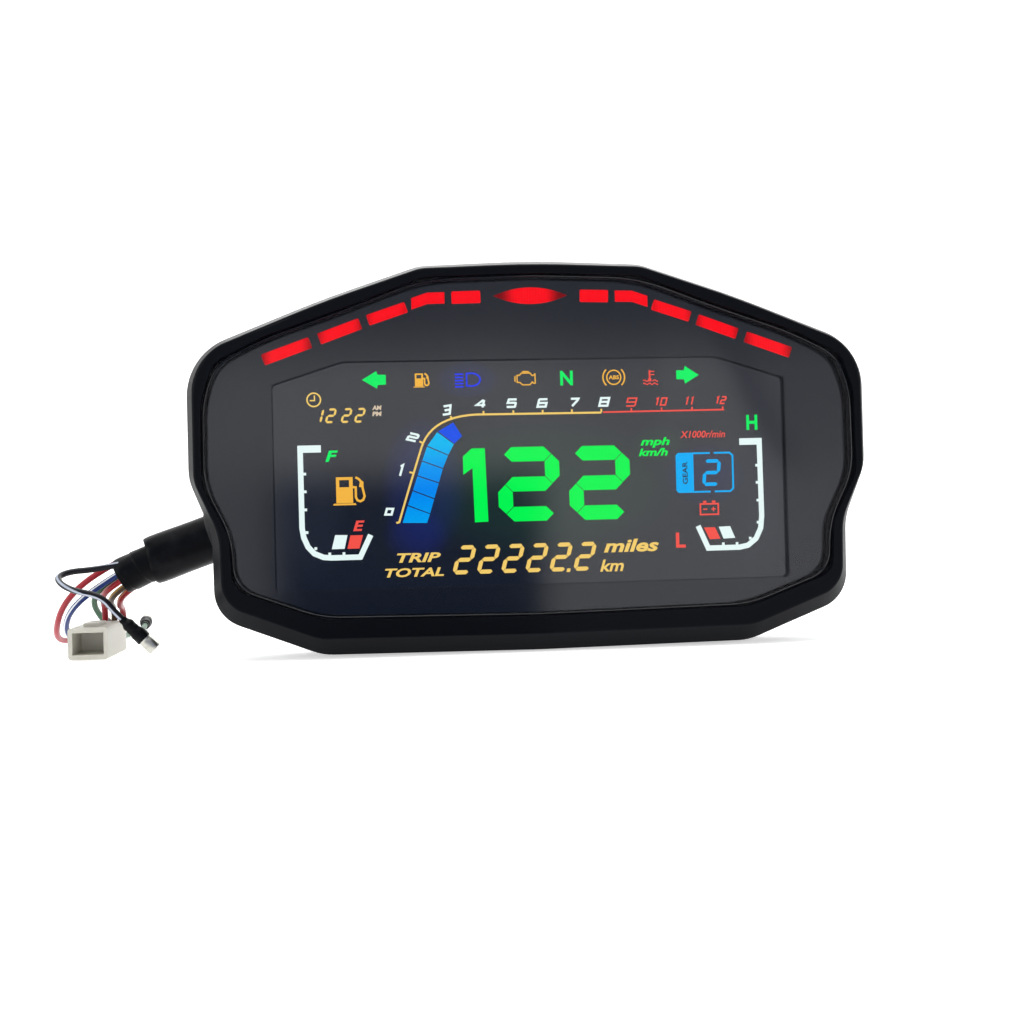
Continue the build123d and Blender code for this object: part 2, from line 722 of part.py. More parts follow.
with BuildPart() as breather:
    with BuildSketch(at_depth(TUB_BACK + 0.9)):
        with Locations((0, 84.0)):
            Circle(5.0)
    extrude(amount=0.88)
    fillet(breather.faces().sort_by(Axis.Y)[-1].edges(), 0.3)
save(breather.part, "breather")


# ---- harness -------------------------------------------------------------------------
BOOT_L = 9.5
with BuildPart() as cable_boot:
    with BuildSketch(cable_plane(-7.0)):
        Circle(SPOUT_BORE_R - 0.03)
    extrude(amount=7.0)
    with BuildSketch(cable_plane(0)):
        Circle(SPOUT_BORE_R - 0.03)
    with BuildSketch(cable_plane(BOOT_L)):
        Circle(7.75)
    loft()
    with BuildSketch(cable_plane(-7.0)):
        Circle(SLEEVE_R + 0.03)
    extrude(amount=BOOT_L + 8.0, mode=Mode.SUBTRACT)
save(cable_boot.part, "cable_boot")

with BuildPart() as harness_sleeve:
    with BuildSketch(cable_plane(SLEEVE_START)):
        Circle(SLEEVE_R)
        Circle(SLEEVE_BORE_R, mode=Mode.SUBTRACT)
    extrude(amount=SLEEVE_END - SLEEVE_START)
    fillet(harness_sleeve.edges().filter_by(GeomType.CIRCLE).sort_by(Axis.X)[:2], 0.3)
save(harness_sleeve.part, "harness_sleeve")

TAPE_START = 14.0
core_start = (HEADER_AT[0] - HEADER[0] / 2 - 0.05, FRONT_Y + 29.0, HEADER_AT[1])
core_bend = tuple(cable_plane(-14.0).origin)
core_end = tuple(cable_plane(TAPE_START - 0.05).origin)
save(tube_along([core_start, core_bend, core_end], CORE_R), "harness_core")

tape_start = tuple(cable_plane(TAPE_START).origin)
tape_bend = tuple(cable_plane(29.0).origin)
tape_end = (TAPE_END[0], CABLE_Y, TAPE_END[1])
save(tube_along([tape_start, tape_bend, tape_end], TAPE_R), "tape_wrap")

for node, points in WIRES.items():
    save(tube_along(points, WIRE_R), node)

for name in SOCKETS:
    before, end = WIRES[f"wire_{name}"][-2:]
    along = (Vector(*end) - Vector(*before)).normalized()
    start = Vector(*end) - along * (CRIMP_L - CRIMP_OVER - 3.2)
    lip = start + along * (CRIMP_L - CRIMP_OVER)
    with BuildPart() as crimp_sleeve:
        with BuildSketch(Plane(origin=start, z_dir=along)):
            Circle(CRIMP_R - 0.55)
        with BuildSketch(Plane(origin=start + along * 3.0, z_dir=along)):
            Circle(CRIMP_R)
        loft()
        with BuildSketch(Plane(origin=start + along * 3.0, z_dir=along)):
            Circle(CRIMP_R)
        extrude(amount=CRIMP_L - 3.0)
        with BuildSketch(Plane(origin=lip, z_dir=along)):
            Circle(SOCKET_R + 0.02)
        extrude(amount=CRIMP_OVER + 1.0, mode=Mode.SUBTRACT)
        with BuildSketch(Plane(origin=start, z_dir=along)):
            Circle(WIRE_R + 0.02)
        extrude(amount=CRIMP_L - CRIMP_OVER - 3.2, mode=Mode.SUBTRACT)
    save(crimp_sleeve.part, f"{name}_crimp_sleeve")
    with BuildPart() as socket:
        with BuildSketch(Plane(origin=lip, z_dir=along)):
            Circle(SOCKET_R)
        extrude(amount=SOCKET_L)
        with BuildSketch(Plane(origin=lip + along * 1.2, z_dir=along)):
            Circle(SOCKET_BORE_R)
        extrude(amount=SOCKET_L, mode=Mode.SUBTRACT)
    save(socket.part, f"{name}_socket")

WIRE_HOLES_Y = CONNECTOR_AT[1] + CONNECTOR[1] / 2
with BuildPart() as sensor_connector:
    with Locations(CONNECTOR_AT):
        Box(*CONNECTOR)
    fillet(sensor_connector.edges().filter_by(Axis.Y), 1.0)
    with BuildSketch(Plane.XZ.offset(-WIRE_HOLES_Y)):
        with Locations((CONNECTOR_AT[0], 4.7)):
            with GridLocations(CONNECTOR_PITCH, 1, 3, 1):
                Circle(WIRE_R + 0.25)
    extrude(amount=5.0, mode=Mode.SUBTRACT)
    with BuildSketch(Plane.XZ.offset(-(CONNECTOR_AT[1] - CONNECTOR[1] / 2))):
        with Locations((CONNECTOR_AT[0], CONNECTOR_AT[2])):
            Rectangle(8.6, 6.2)
    extrude(amount=-10.0, mode=Mode.SUBTRACT)
    with Locations((CONNECTOR_AT[0], CONNECTOR_AT[1] - 3.0, CONNECTOR_AT[2] + CONNECTOR[2] / 2 + 0.4)):
        Box(4.0, 9.0, 1.2)
save(sensor_connector.part, "sensor_connector")
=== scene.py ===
"""Looks for a motorcycle instrument cluster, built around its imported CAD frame.

Lengths written in millimetres are turned to metres by MM. X is to the right, the display faces -Y
and Z is up. Every new shape is a grid of points worked out with numpy.
"""

import math

import bmesh
import bpy
import numpy as np
from mathutils import Matrix, Vector


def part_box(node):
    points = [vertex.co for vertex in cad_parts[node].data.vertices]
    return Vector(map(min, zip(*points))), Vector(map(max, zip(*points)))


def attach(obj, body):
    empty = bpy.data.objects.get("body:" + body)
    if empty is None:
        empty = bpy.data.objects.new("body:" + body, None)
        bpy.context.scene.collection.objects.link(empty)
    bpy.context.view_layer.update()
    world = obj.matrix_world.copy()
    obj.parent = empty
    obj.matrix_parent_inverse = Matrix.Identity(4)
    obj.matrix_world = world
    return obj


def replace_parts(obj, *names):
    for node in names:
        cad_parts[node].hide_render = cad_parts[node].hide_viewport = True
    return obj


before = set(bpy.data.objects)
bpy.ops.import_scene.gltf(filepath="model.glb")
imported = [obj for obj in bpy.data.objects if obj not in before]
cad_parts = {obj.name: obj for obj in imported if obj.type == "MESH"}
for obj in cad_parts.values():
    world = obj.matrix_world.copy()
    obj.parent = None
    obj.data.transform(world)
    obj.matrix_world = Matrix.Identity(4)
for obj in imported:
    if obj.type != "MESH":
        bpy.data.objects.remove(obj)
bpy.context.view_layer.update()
CASE = "cluster"
MM = 0.001
SCENE = bpy.context.scene

# ---- camera
CAMERA_AT = (-0.0363, -0.3499, 0.0391)
CAMERA_YAW = math.radians(-5.07)
CAMERA_TILT = math.radians(90.0 - 0.08)
CAMERA_ROLL = math.radians(-1.48)
CAMERA_LENS = 42.19
SENSOR_WIDTH = 36.0
NEAREST, FARTHEST = 0.01, 20.0


def make_camera():
    """A level camera turned a few degrees to the right and rolled slightly."""
    data = bpy.data.cameras.new("camera")
    data.sensor_width = SENSOR_WIDTH
    data.lens = CAMERA_LENS
    data.clip_start, data.clip_end = NEAREST, FARTHEST
    camera = bpy.data.objects.new("camera", data)
    turn = Matrix.Rotation(CAMERA_YAW, 4, "Z") @ Matrix.Rotation(CAMERA_TILT, 4, "X")
    camera.matrix_world = Matrix.Translation(CAMERA_AT) @ turn @ Matrix.Rotation(CAMERA_ROLL, 4, "Z")
    SCENE.collection.objects.link(camera)
    SCENE.camera = camera


# ---- shader maths
# where a Mix node keeps its colour sockets, after those for numbers
MIX_AMOUNT, MIX_FIRST, MIX_SECOND = 0, 6, 7
MIX_COLOUR = 2
BLACK = (0.0, 0.0, 0.0, 1.0)
WHITE = (1.0, 1.0, 1.0, 1.0)
FULL_TURN = 2.0 * math.pi


class Value:
    """A socket that holds one number over the surface; arithmetic on it adds Math nodes."""

    def __init__(self, finish, socket):
        self.finish = finish
        self.socket = socket

    def __add__(self, other):
        return self.finish.maths("ADD", self, other)

    def __sub__(self, other):
        return self.finish.maths("SUBTRACT", self, other)

    def __rsub__(self, other):
        return self.finish.maths("SUBTRACT", other, self)

    def __mul__(self, other):
        return self.finish.maths("MULTIPLY", self, other)

    def __truediv__(self, other):
        return self.finish.maths("DIVIDE", self, other)

    def __pow__(self, other):
        return self.finish.maths("POWER", self, other)

    __radd__ = __add__
    __rmul__ = __mul__


class Finish:
    """A material in the making. node() adds any node and returns one of its outputs."""

    def __init__(self, name, world=None):
        owner = world or bpy.data.materials.new(name)
        owner.use_nodes = True
        self.material = owner
        self.tree = owner.node_tree
        self.tree.nodes.clear()
        kind = "ShaderNodeOutputWorld" if world else "ShaderNodeOutputMaterial"
        self.output = self.tree.nodes.new(kind)

    def node(self, kind, out, inputs=None, **settings):
        """Adds a node: its settings first, then values or links for its sockets."""
        made = self.tree.nodes.new("ShaderNode" + kind)
        for key, value in settings.items():
            if key == "stops":
                self.set_stops(made.color_ramp, value)
            else:
                setattr(made, key, value)
        for key, value in (inputs or {}).items():
            if isinstance(value, Value):
                self.tree.links.new(value.socket, made.inputs[key])
            else:
                made.inputs[key].default_value = value
        return Value(self, made.outputs[out])

    @staticmethod
    def set_stops(ramp, stops):
        """Puts (position, colour) pairs on a colour ramp."""
        while len(ramp.elements) < len(stops):
            ramp.elements.new(1.0)
        for element, (position, colour) in zip(ramp.elements, stops):
            element.position = position
            element.color = colour

    def maths(self, operation, first, second=0.0):
        return self.node("Math", 0, {0: first, 1: second}, operation=operation)

    def place(self):
        return self.node("TexCoord", "Object")

    def axes(self, vector=None):
        """The parts of a vector as numbers: by itself, the Object coordinates in metres."""
        split = self.node("SeparateXYZ", "X", {"Vector": vector or self.place()})
        return [Value(self, split.socket.node.outputs[k]) for k in "XYZ"]

    def stretched(self, scale):
        """Object coordinates stretched along each axis."""
        return self.node("Mapping", 0, {"Vector": self.place(), "Scale": scale})

    def noise(self, size, detail=3.0, roughness=0.55, vector=None):
        """Smooth noise from 0 to 1 whose features are about size metres across."""
        inputs = {"Vector": vector or self.place(), "Scale": 1.0 / size}
        inputs.update({"Detail": detail, "Roughness": roughness})
        return self.node("TexNoise", "Fac", inputs)

    def cells(self, size):
        """Distance from the middle of the nearest cell, of cells about size metres across."""
        return self.node("TexVoronoi", "Distance", {"Vector": self.place(), "Scale": 1.0 / size})

    def mix(self, amount, first, second):
        """A colour between first and second."""
        inputs = {MIX_AMOUNT: amount, MIX_FIRST: first, MIX_SECOND: second}
        return self.node("Mix", MIX_COLOUR, inputs, data_type="RGBA")

    def smooth(self, value, low, high):
        """0 below low, 1 above high, and an even slope between."""
        inputs = {0: value, 1: low, 2: high}
        return self.node("MapRange", 0, inputs, interpolation_type="SMOOTHSTEP")

    def bump(self, height, distance):
        return self.node("Bump", 0, {"Height": height, "Distance": distance, "Strength": 1.0})

    def surface(self, base, rough, height=None, depth=0.0, glow=None, **fixed):
        """Principled shader on the output: its colour, its roughness, a height map that stands
        depth metres tall, and its glow. Fixed values are set on the shader's own sockets."""
        sockets = {"Base Color": base, "Roughness": rough}
        if height is not None:
            sockets["Normal"] = self.bump(height, depth)
        if glow is not None:
            sockets["Emission Color"] = glow
        sockets.update({key.replace("_", " "): value for key, value in fixed.items()})
        return self.show(self.node("BsdfPrincipled", 0, sockets))

    def show(self, shader):
        self.tree.links.new(shader.socket, self.output.inputs["Surface"])
        return self.material


def tint(red, green, blue):
    """A screen colour from 0 to 255, as the linear colour that shaders use: a straight line for
    the darkest tones, and above them the power 2.4 of a slightly shifted value."""
    screen = np.array([red, green, blue]) / 255.0
    line = np.where(screen > 0.04045, ((screen + 0.055) / 1.055) ** 2.4, screen / 12.92)
    return (*line.tolist(), 1.0)


def shade(colour, gain, lift=0.0):
    """A colour made darker or lighter by a gain, then lifted."""
    return (*(min(1.0, c * gain + lift) for c in colour[:3]), 1.0)


# ---- mesh makers
MERGE = 1e-7
SHARP_EDGE = math.radians(38)


def grid_mesh(name, points, loop_rows=False, uv=None):
    """A closed shell from a grid of points: each row is a ring, and the first and last rings
    are capped unless the rows come round to the first again."""
    rows, around = points.shape[:2]
    i = np.arange(rows if loop_rows else rows - 1)[:, None]
    j = np.arange(around)[None, :]
    after, beside = (i + 1) % rows, (j + 1) % around
    corners = [i * around + j, i * around + beside, after * around + beside, after * around + j]
    faces = np.stack(np.broadcast_arrays(*corners), -1).reshape(-1, 4).tolist()
    if not loop_rows:
        faces.append(list(range(around))[::-1])
        faces.append([(rows - 1) * around + k for k in range(around)])
    mesh = bpy.data.meshes.new(name)
    mesh.from_pydata(points.reshape(-1, 3).tolist(), [], faces)
    if uv is not None:
        across = np.broadcast_to(j / around, (len(i), around))
        along = np.broadcast_to(uv[i], (len(i), around))
        ahead = np.broadcast_to(uv[np.minimum(i + 1, rows - 1)], (len(i), around))
        wide = across + 1.0 / around
        quads = np.stack([across, along, wide, along, wide, ahead, across, ahead], -1).reshape(-1)
        spare = np.zeros(len(mesh.loops) * 2 - quads.size)
        layer = mesh.uv_layers.new(name="UVMap")
        layer.data.foreach_set("uv", np.concatenate([quads, spare]).astype(np.float32))
    return mesh


def piece(name, parts, material, smooth=True):
    """Joins mesh parts into one piece with outward faces, on the case, with its finish."""
    work = bmesh.new()
    for part in parts:
        work.from_mesh(part)
        bpy.data.meshes.remove(part)
    bmesh.ops.remove_doubles(work, verts=work.verts, dist=MERGE)
    bmesh.ops.recalc_face_normals(work, faces=work.faces)
    mesh = bpy.data.meshes.new(name)
    work.to_mesh(mesh)
    work.free()
    mesh.materials.append(material)
    made = bpy.data.objects.new(name, mesh)
    SCENE.collection.objects.link(made)
    mesh.shade_smooth() if smooth else mesh.shade_flat()
    if smooth:
        mesh.set_sharp_from_angle(angle=SHARP_EDGE)
    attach(made, CASE)
    return made


def legend(name, parts, material):
    """A flat piece of the display's print, with crisp edges."""
    piece("display_" + name, parts, material, smooth=False)


def unit(vectors):
    """Vectors over their own lengths."""
    return vectors / np.linalg.norm(vectors, axis=-1, keepdims=True)


def spokes(side, up, around):
    """Directions round a circle: side times the cosine of each turn and up times its sine."""
    turn = np.linspace(0.0, FULL_TURN, around, endpoint=False)[:, None]
    return side[..., None, :] * np.cos(turn) + up[..., None, :] * np.sin(turn)


def rings(line, radius, around, upright=(1.0, 0.0, 0.0)):
    """Rings along a line: each stands square to the line's direction there, starts from the
    upright vector laid square to it, and has the radius given for each row and column."""
    ahead = unit(np.gradient(line, axis=0))
    side = np.asarray(upright, float)
    side = unit(side - ahead * (ahead @ side)[:, None])
    spoke = spokes(side, np.cross(ahead, side), around)
    return line[:, None] + spoke * np.broadcast_to(radius, (len(line), around))[..., None]


def turned(origin, axis, along, radius, around):
    """A turned shape: rings at distances along an axis from an origin, with their radii.
    Distances and radii may also vary round the ring."""
    side = unit(np.cross(axis, (0.0, 1.0, 0.0)))
    spoke = spokes(side, np.cross(axis, side), around)
    along = np.broadcast_to(np.reshape(along, (len(along), -1)), (len(along), around))
    radius = np.broadcast_to(np.reshape(radius, (len(radius), -1)), (len(radius), around))
    return origin + along[..., None] * axis + radius[..., None] * spoke


def spread(total, around):
    """Evenly spaced turns, for shapes that vary round their ring."""
    return np.linspace(0.0, FULL_TURN * total, around, endpoint=False)[None, :]


# ---- flat display shapes
GLASS_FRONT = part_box("lcd_front_glass")[0].y
INK_FRONT = GLASS_FRONT - 0.07 * MM
INK_BACK = GLASS_FRONT - 0.02 * MM
MITRE_LIMIT = 0.4


def slab(points):
    """A thin plate: a flat outline in x and z, in mm, carried from the ink's front to its back."""
    flat = np.array(points, float) * MM
    ring = np.stack([flat[:, 0], np.zeros(len(flat)), flat[:, 1]], -1)
    return grid_mesh("slab", np.stack([ring + (0.0, INK_FRONT, 0.0), ring + (0.0, INK_BACK, 0.0)]))


def band(points, width, closed=False):
    """A thin band of even width: each point moves along the mean of its two runs' normals,
    by half the width over the cosine of half the turn, to either side."""
    line = np.array(points, float)
    ahead = np.roll(line, -1, 0) - line
    behind = line - np.roll(line, 1, 0)
    if not closed:
        ahead[-1] = behind[-1]
        behind[0] = ahead[0]
    ahead, behind = unit(ahead), unit(behind)
    square = np.stack([-behind[:, 1], behind[:, 0]], -1)
    mean = unit(square + np.stack([-ahead[:, 1], ahead[:, 0]], -1))
    reach = width / 2.0 / np.maximum((mean * square).sum(-1, keepdims=True), MITRE_LIMIT)
    left, right = (line + mean * reach) * MM, (line - mean * reach) * MM
    tall = np.full((len(line), 1), INK_FRONT), np.full((len(line), 1), INK_BACK)
    corners = [(left, tall[0]), (right, tall[0]), (right, tall[1]), (left, tall[1])]
    section = [np.concatenate([edge[:, :1], depth, edge[:, 1:]], 1) for edge, depth in corners]
    return grid_mesh("band", np.stack(section, 1), loop_rows=closed)


def arc(centre, radius, start, end, steps=20):
    """Points on a circle, or on an oval when radius is a pair, from start to end in degrees."""
    turn = np.radians(np.linspace(start, end, steps))
    wide, tall = radius if isinstance(radius, tuple) else (radius, radius)
    return np.stack([centre[0] + wide * np.cos(turn), centre[1] + tall * np.sin(turn)], -1).tolist()


def bend(start, corner, end, steps=12):
    """Points on the parabola that leaves start towards corner and reaches end from it."""
    t = np.linspace(0.0, 1.0, steps)[:, None]
    line = (1 - t) ** 2 * np.array(start) + 2 * t * (1 - t) * np.array(corner) + t**2 * np.array(end)
    return line.tolist()


def block(centre, width, height, slant=0.0):
    """The four corners of a rectangle whose top leans to the right by slant, in mm."""
    x, z = centre
    lean = slant / 2.0
    top, foot = z + height / 2.0, z - height / 2.0
    half = width / 2.0
    foot_ends = [(x - half - lean, foot), (x + half - lean, foot)]
    return foot_ends + [(x + half + lean, top), (x - half + lean, top)]


def letters(words, centre, size, shear=0.0, weight=0.0, turn=0.0, lift=0.0):
    """Plain dial lettering as a thin plate, scaled so that it fills a width and height in mm."""
    curve = bpy.data.curves.new("lettering", "FONT")
    curve.body = words
    curve.shear = shear
    curve.offset = weight
    curve.extrude = 0.01
    curve.resolution_u = 3
    made = bpy.data.objects.new("lettering", curve)
    SCENE.collection.objects.link(made)
    bpy.context.view_layer.update()
    seen = made.evaluated_get(bpy.context.evaluated_depsgraph_get())
    mesh = bpy.data.meshes.new_from_object(seen)
    bpy.data.objects.remove(made)
    co = np.empty(len(mesh.vertices) * 3, np.float32)
    mesh.vertices.foreach_get("co", co)
    co = co.reshape(-1, 3).astype(float)
    low, high = co[:, :2].min(0), co[:, :2].max(0)
    flat = (co[:, :2] - (low + high) / 2.0) / (high - low) * np.array(size)
    angle = math.radians(turn)
    across = flat[:, 0] * math.cos(angle) - flat[:, 1] * math.sin(angle) + centre[0]
    up = flat[:, 0] * math.sin(angle) + flat[:, 1] * math.cos(angle) + centre[1]
    deep = np.where(co[:, 2] > 0, INK_FRONT, INK_BACK) - lift * MM
    placed = np.stack([across * MM, deep, up * MM], -1)
    mesh.vertices.foreach_set("co", placed.reshape(-1).astype(np.float32))
    mesh.materials.clear()
    return mesh


SEGMENT_ENDS = {
    "a": ((-1, 1), (1, 1)),
    "b": ((1, 1), (1, 0)),
    "g": ((1, 0), (-1, 0)),
    "e": ((-1, 0), (-1, -1)),
    "d": ((-1, -1), (1, -1)),
    "c": ((1, 0), (1, -1)),
}
LIT_SEGMENTS = {"1": "bc", "2": "abged"}


def digit(figure, centre, width, height, stroke, slant, gap):
    """A segment digit: each lit segment is a long hexagon between two corners of the cell,
    pointed at both ends and drawn in by a small gap; the whole cell leans by slant degrees."""
    reach = np.array([(width - stroke) / 2.0, (height - stroke) / 2.0])
    lean = math.tan(math.radians(slant))
    parts = []
    for name in LIT_SEGMENTS[figure]:
        start, end = (np.array(corner) * reach for corner in SEGMENT_ENDS[name])
        run = (end - start) / np.linalg.norm(end - start)
        side = np.array([-run[1], run[0]]) * stroke / 2.0
        tip, shoulder = run * gap, run * (gap + stroke / 2.0)
        outline = [start + tip, start + shoulder + side, end - shoulder + side, end - tip]
        outline += [end - shoulder - side, start + shoulder - side]
        outline = np.array(outline)[::-1]
        outline[:, 0] += outline[:, 1] * lean
        parts.append(slab(outline + np.array(centre)))
    return parts


# ---- finishes
def moulded(name, colour, rough=0.5, grain=0.35, depth=0.012, gloss=0.5):
    """Injection moulding: fine spark-eroded grain, a slow drift in shade and in gloss."""
    f = Finish(name)
    drift = f.noise(22 * MM, 2.0)
    fine = f.noise(grain * MM, 2.0, 0.6)
    base = f.mix(drift, shade(colour, 0.82), shade(colour, 1.18))
    rough = rough + (fine - 0.5) * 0.16 + (drift - 0.5) * 0.06
    return f.surface(base, rough, fine, depth * MM, Specular_IOR_Level=gloss)


def satin_case(name, colour, rough, gloss):
    """The black housing: fine leathery grain on the sides, with rubbed, smoother high spots."""
    f = Finish(name)
    drift = f.noise(35 * MM, 2.0)
    fine = f.noise(0.28 * MM, 3.0, 0.65)
    rubbed = f.smooth(f.noise(9 * MM, 4.0), 0.52, 0.75)
    base = f.mix(drift, shade(colour, 0.8), shade(colour, 1.25))
    rough = rough + (fine - 0.5) * 0.14 - rubbed * 0.07
    return f.surface(base, rough, fine, 0.004 * MM, Specular_IOR_Level=gloss)


def clear_lens(name):
    """Hard-coated clear sheet: see-through face on, more of a mirror towards the edge of view,
    with faint flow marks and a few fine dust specks in the coat."""
    f = Finish(name)
    facing = f.node("LayerWeight", "Facing", {"Blend": 0.5})
    mirror = 0.013 + (facing**5.0) * 0.95
    waves = f.noise(30 * MM, 1.0)
    dust = f.smooth(f.cells(2.6 * MM), 0.03, 0.01)
    clear = f.node("BsdfTransparent", 0, {"Color": (0.95, 0.955, 0.96, 1.0)})
    mirrored = {
        "Base Color": (0.96, 0.97, 1.0, 1.0),
        "Metallic": 1.0,
        "Roughness": 0.025 + waves * 0.02,
        "Normal": f.bump(waves, 0.015 * MM),
    }
    gloss = f.node("BsdfPrincipled", 0, mirrored)
    return f.show(f.node("MixShader", 0, {0: mirror + dust * 0.05, 1: clear, 2: gloss}))


def smoked_mask(name):
    """Dark smoke printed sheet with a faint even speckle of the screen-printed ink."""
    f = Finish(name)
    ink = f.noise(0.5 * MM, 2.0)
    drift = f.noise(40 * MM, 2.0)
    base = f.mix(drift, (0.0012, 0.0013, 0.0017, 1.0), (0.0022, 0.0022, 0.0026, 1.0))
    return f.surface(base, 0.10 + ink * 0.05, ink, 0.0004 * MM, IOR=1.7)


def cell_glass(name):
    """The liquid crystal cell: near black, with light leaking softly round the lit shapes."""
    f = Finish(name)
    x, _, z = f.axes()

    def glow(at, reach, strength):
        across, up = (x - at[0] * MM) / (reach[0] * MM), (z - at[1] * MM) / (reach[1] * MM)
        return (1.0 - f.smooth(across * across + up * up, 0.0, 1.0)) * strength

    speed = glow((2.0, 45.0), (44.0, 22.0), 0.016) + glow((36.0, 57.0), (9.0, 6.0), 0.012)
    bars = glow((-31.0, 46.0), (13.0, 22.0), 0.05) + glow((-33.5, 33.0), (10.0, 9.0), 0.045)
    bars = bars + glow((-18.0, 76.0), (10.0, 6.0), 0.035) + glow((49.0, 48.0), (13.0, 10.0), 0.03)
    frames = glow((-62.0, 40.0), (11.0, 22.0), 0.008) + glow((62.0, 40.0), (12.0, 24.0), 0.008)
    grain = f.noise(0.6 * MM, 2.0)
    green = f.mix(speed, (0.0006, 0.0007, 0.0012, 1.0), (0.1, 1.0, 0.25, 1.0))
    blue = f.mix(bars, green, (0.01, 0.05, 1.0, 1.0))
    leak = f.mix(frames, blue, (0.5, 0.6, 0.9, 1.0))
    base = f.mix(grain, (0.0012, 0.0013, 0.002, 1.0), (0.002, 0.0022, 0.003, 1.0))
    return f.surface(base, 0.06 + grain * 0.03, glow=leak, Emission_Strength=1.0, IOR=1.85)


PRINT_DOT = 0.5 * MM


def glowing(f, level, colour, rough, strength):
    """Ink that only glows: its full colour at level 1, and black at 0."""
    fixed = {"Specular_IOR_Level": 0.0, "Emission_Strength": strength}
    return f.surface(f.mix(0.02, BLACK, colour), rough, glow=f.mix(level, BLACK, colour), **fixed)


def lit_ink(name, colour, strength=1.0):
    """A lit display segment: the backlight's slow unevenness and the film's fine print dots."""
    f = Finish(name)
    slow = f.noise(14 * MM, 1.0)
    level = 0.88 + slow * 0.14 + f.cells(PRINT_DOT) * 0.10
    return glowing(f, f.maths("MINIMUM", level, 1.0), colour, 0.45, strength)


def bar_ink(name):
    """The tachometer bars: azure, a little deeper half way up, with the film's fine print dots."""
    f = Finish(name)
    _, _, z = f.axes()
    height = f.node("MapRange", 0, {0: z, 1: 36 * MM, 2: 62 * MM})
    stops = [(0.0, tint(0, 172, 255)), (0.36, tint(0, 142, 255))]
    stops += [(0.60, tint(0, 160, 255)), (0.85, tint(0, 196, 255))]
    ramp = f.node("ValToRGB", 0, {0: height}, stops=stops)
    return glowing(f, 0.88 + f.cells(PRINT_DOT) * 0.12, ramp, 0.5, 1.0)


# each bar's lamp: how far it is from the middle, and how far it lights, in mm
BAR_LAMPS = ((18.0, 9.0), (28.6, 10.5), (40.0, 7.6), (53.1, 7.6), (67.7, 8.0))


def lamp_window(name):
    """A lit red shift window: bright round the lamp behind each bar, dim towards the bar's
    ends, more so in the outer bars, with fine upright ribs."""
    f = Finish(name)
    x, _, _ = f.axes()
    ribs = f.maths("SINE", x * (FULL_TURN / (0.8 * MM)))
    aside = f.maths("ABSOLUTE", x)
    away = aside / (8.6 * MM)
    for centre, reach in BAR_LAMPS:
        away = f.maths("MINIMUM", away, f.maths("ABSOLUTE", aside - centre * MM) / (reach * MM))
    level = (1.0 - f.smooth(away, 0.42, 1.0)) * (0.86 + f.noise(2.0 * MM, 1.0) * 0.28)
    deep = tint(118, 0, 4)
    bright = tint(255, 0, 16)
    glow = f.mix(f.maths("MINIMUM", level + ribs * 0.05, 1.0), deep, bright)
    base = f.mix(level, (0.02, 0.0, 0.0, 1.0), (0.05, 0.0, 0.001, 1.0))
    fixed = {"Specular_IOR_Level": 0.05, "Emission_Strength": 1.05}
    return f.surface(base, 0.3, ribs, 0.01 * MM, glow, **fixed)


def rubbery(name, colour, rough=0.62):
    """Moulded silicone rubber: soft broad sheen, dusty lighter patches, very fine grain."""
    f = Finish(name)
    dust = f.smooth(f.noise(5 * MM, 4.0), 0.5, 0.8)
    fine = f.noise(0.4 * MM, 2.0)
    base = f.mix(dust * 0.5, colour, shade(colour, 1.8, 0.004))
    rough = rough + dust * 0.12 + (fine - 0.5) * 0.1
    return f.surface(base, rough, fine, 0.008 * MM)


def metal(name, colour, rough=0.3, streak=0.15, knurl=0.0):
    """Plated or bare metal: fine drawing streaks, dull patches, and a knurl where one is cut."""
    f = Finish(name)
    streaks = f.noise(streak * MM, 4.0, 0.7)
    dull = f.smooth(f.noise(1.6 * MM, 3.0), 0.42, 0.7)
    base = f.mix(dull * 0.5, colour, shade(colour, 0.62))
    height = streaks * 0.3
    if knurl:
        x, _, z = f.axes()
        pitch = FULL_TURN / (knurl * MM)
        height = height + f.maths("SINE", (x + z) * pitch) * f.maths("SINE", (x - z) * pitch)
    rough = rough + dull * 0.22 + (streaks - 0.5) * 0.15
    return f.surface(base, rough, height, 0.02 * MM, Metallic=1.0)


def circuit_board(name):
    """Green solder mask over copper tracks: a grid of darker laminate between raised tracks."""
    f = Finish(name)
    x, _, z = f.axes()
    pitch = FULL_TURN / (1.27 * MM)
    rows = f.maths("SINE", z * pitch + f.noise(14 * MM, 1.0) * 9.0)
    columns = f.maths("SINE", x * pitch + f.noise(11 * MM, 1.0) * 9.0)
    tracks = f.smooth(f.maths("MAXIMUM", rows, columns), 0.55, 0.75)
    base = f.mix(tracks, (0.008, 0.075, 0.03, 1.0), (0.02, 0.17, 0.065, 1.0))
    holes = f.smooth(f.cells(3.1 * MM), 0.12, 0.09)
    base = f.mix(holes, base, (0.55, 0.5, 0.4, 1.0))
    return f.surface(base, 0.34 - tracks * 0.1, tracks, 0.03 * MM, Coat_Weight=0.3)


def ceramic_parts(name):
    """Small ceramic parts: tan bodies speckled with darker grains, and tinned ends."""
    f = Finish(name)
    speck = f.cells(0.35 * MM)
    big = f.noise(4 * MM, 1.0)
    base = f.mix(f.smooth(speck, 0.1, 0.5), (0.30, 0.22, 0.13, 1.0), (0.52, 0.42, 0.29, 1.0))
    base = f.mix(f.smooth(big, 0.52, 0.56), base, (0.03, 0.03, 0.035, 1.0))
    return f.surface(base, 0.35 + speck * 0.3, speck, 0.01 * MM)


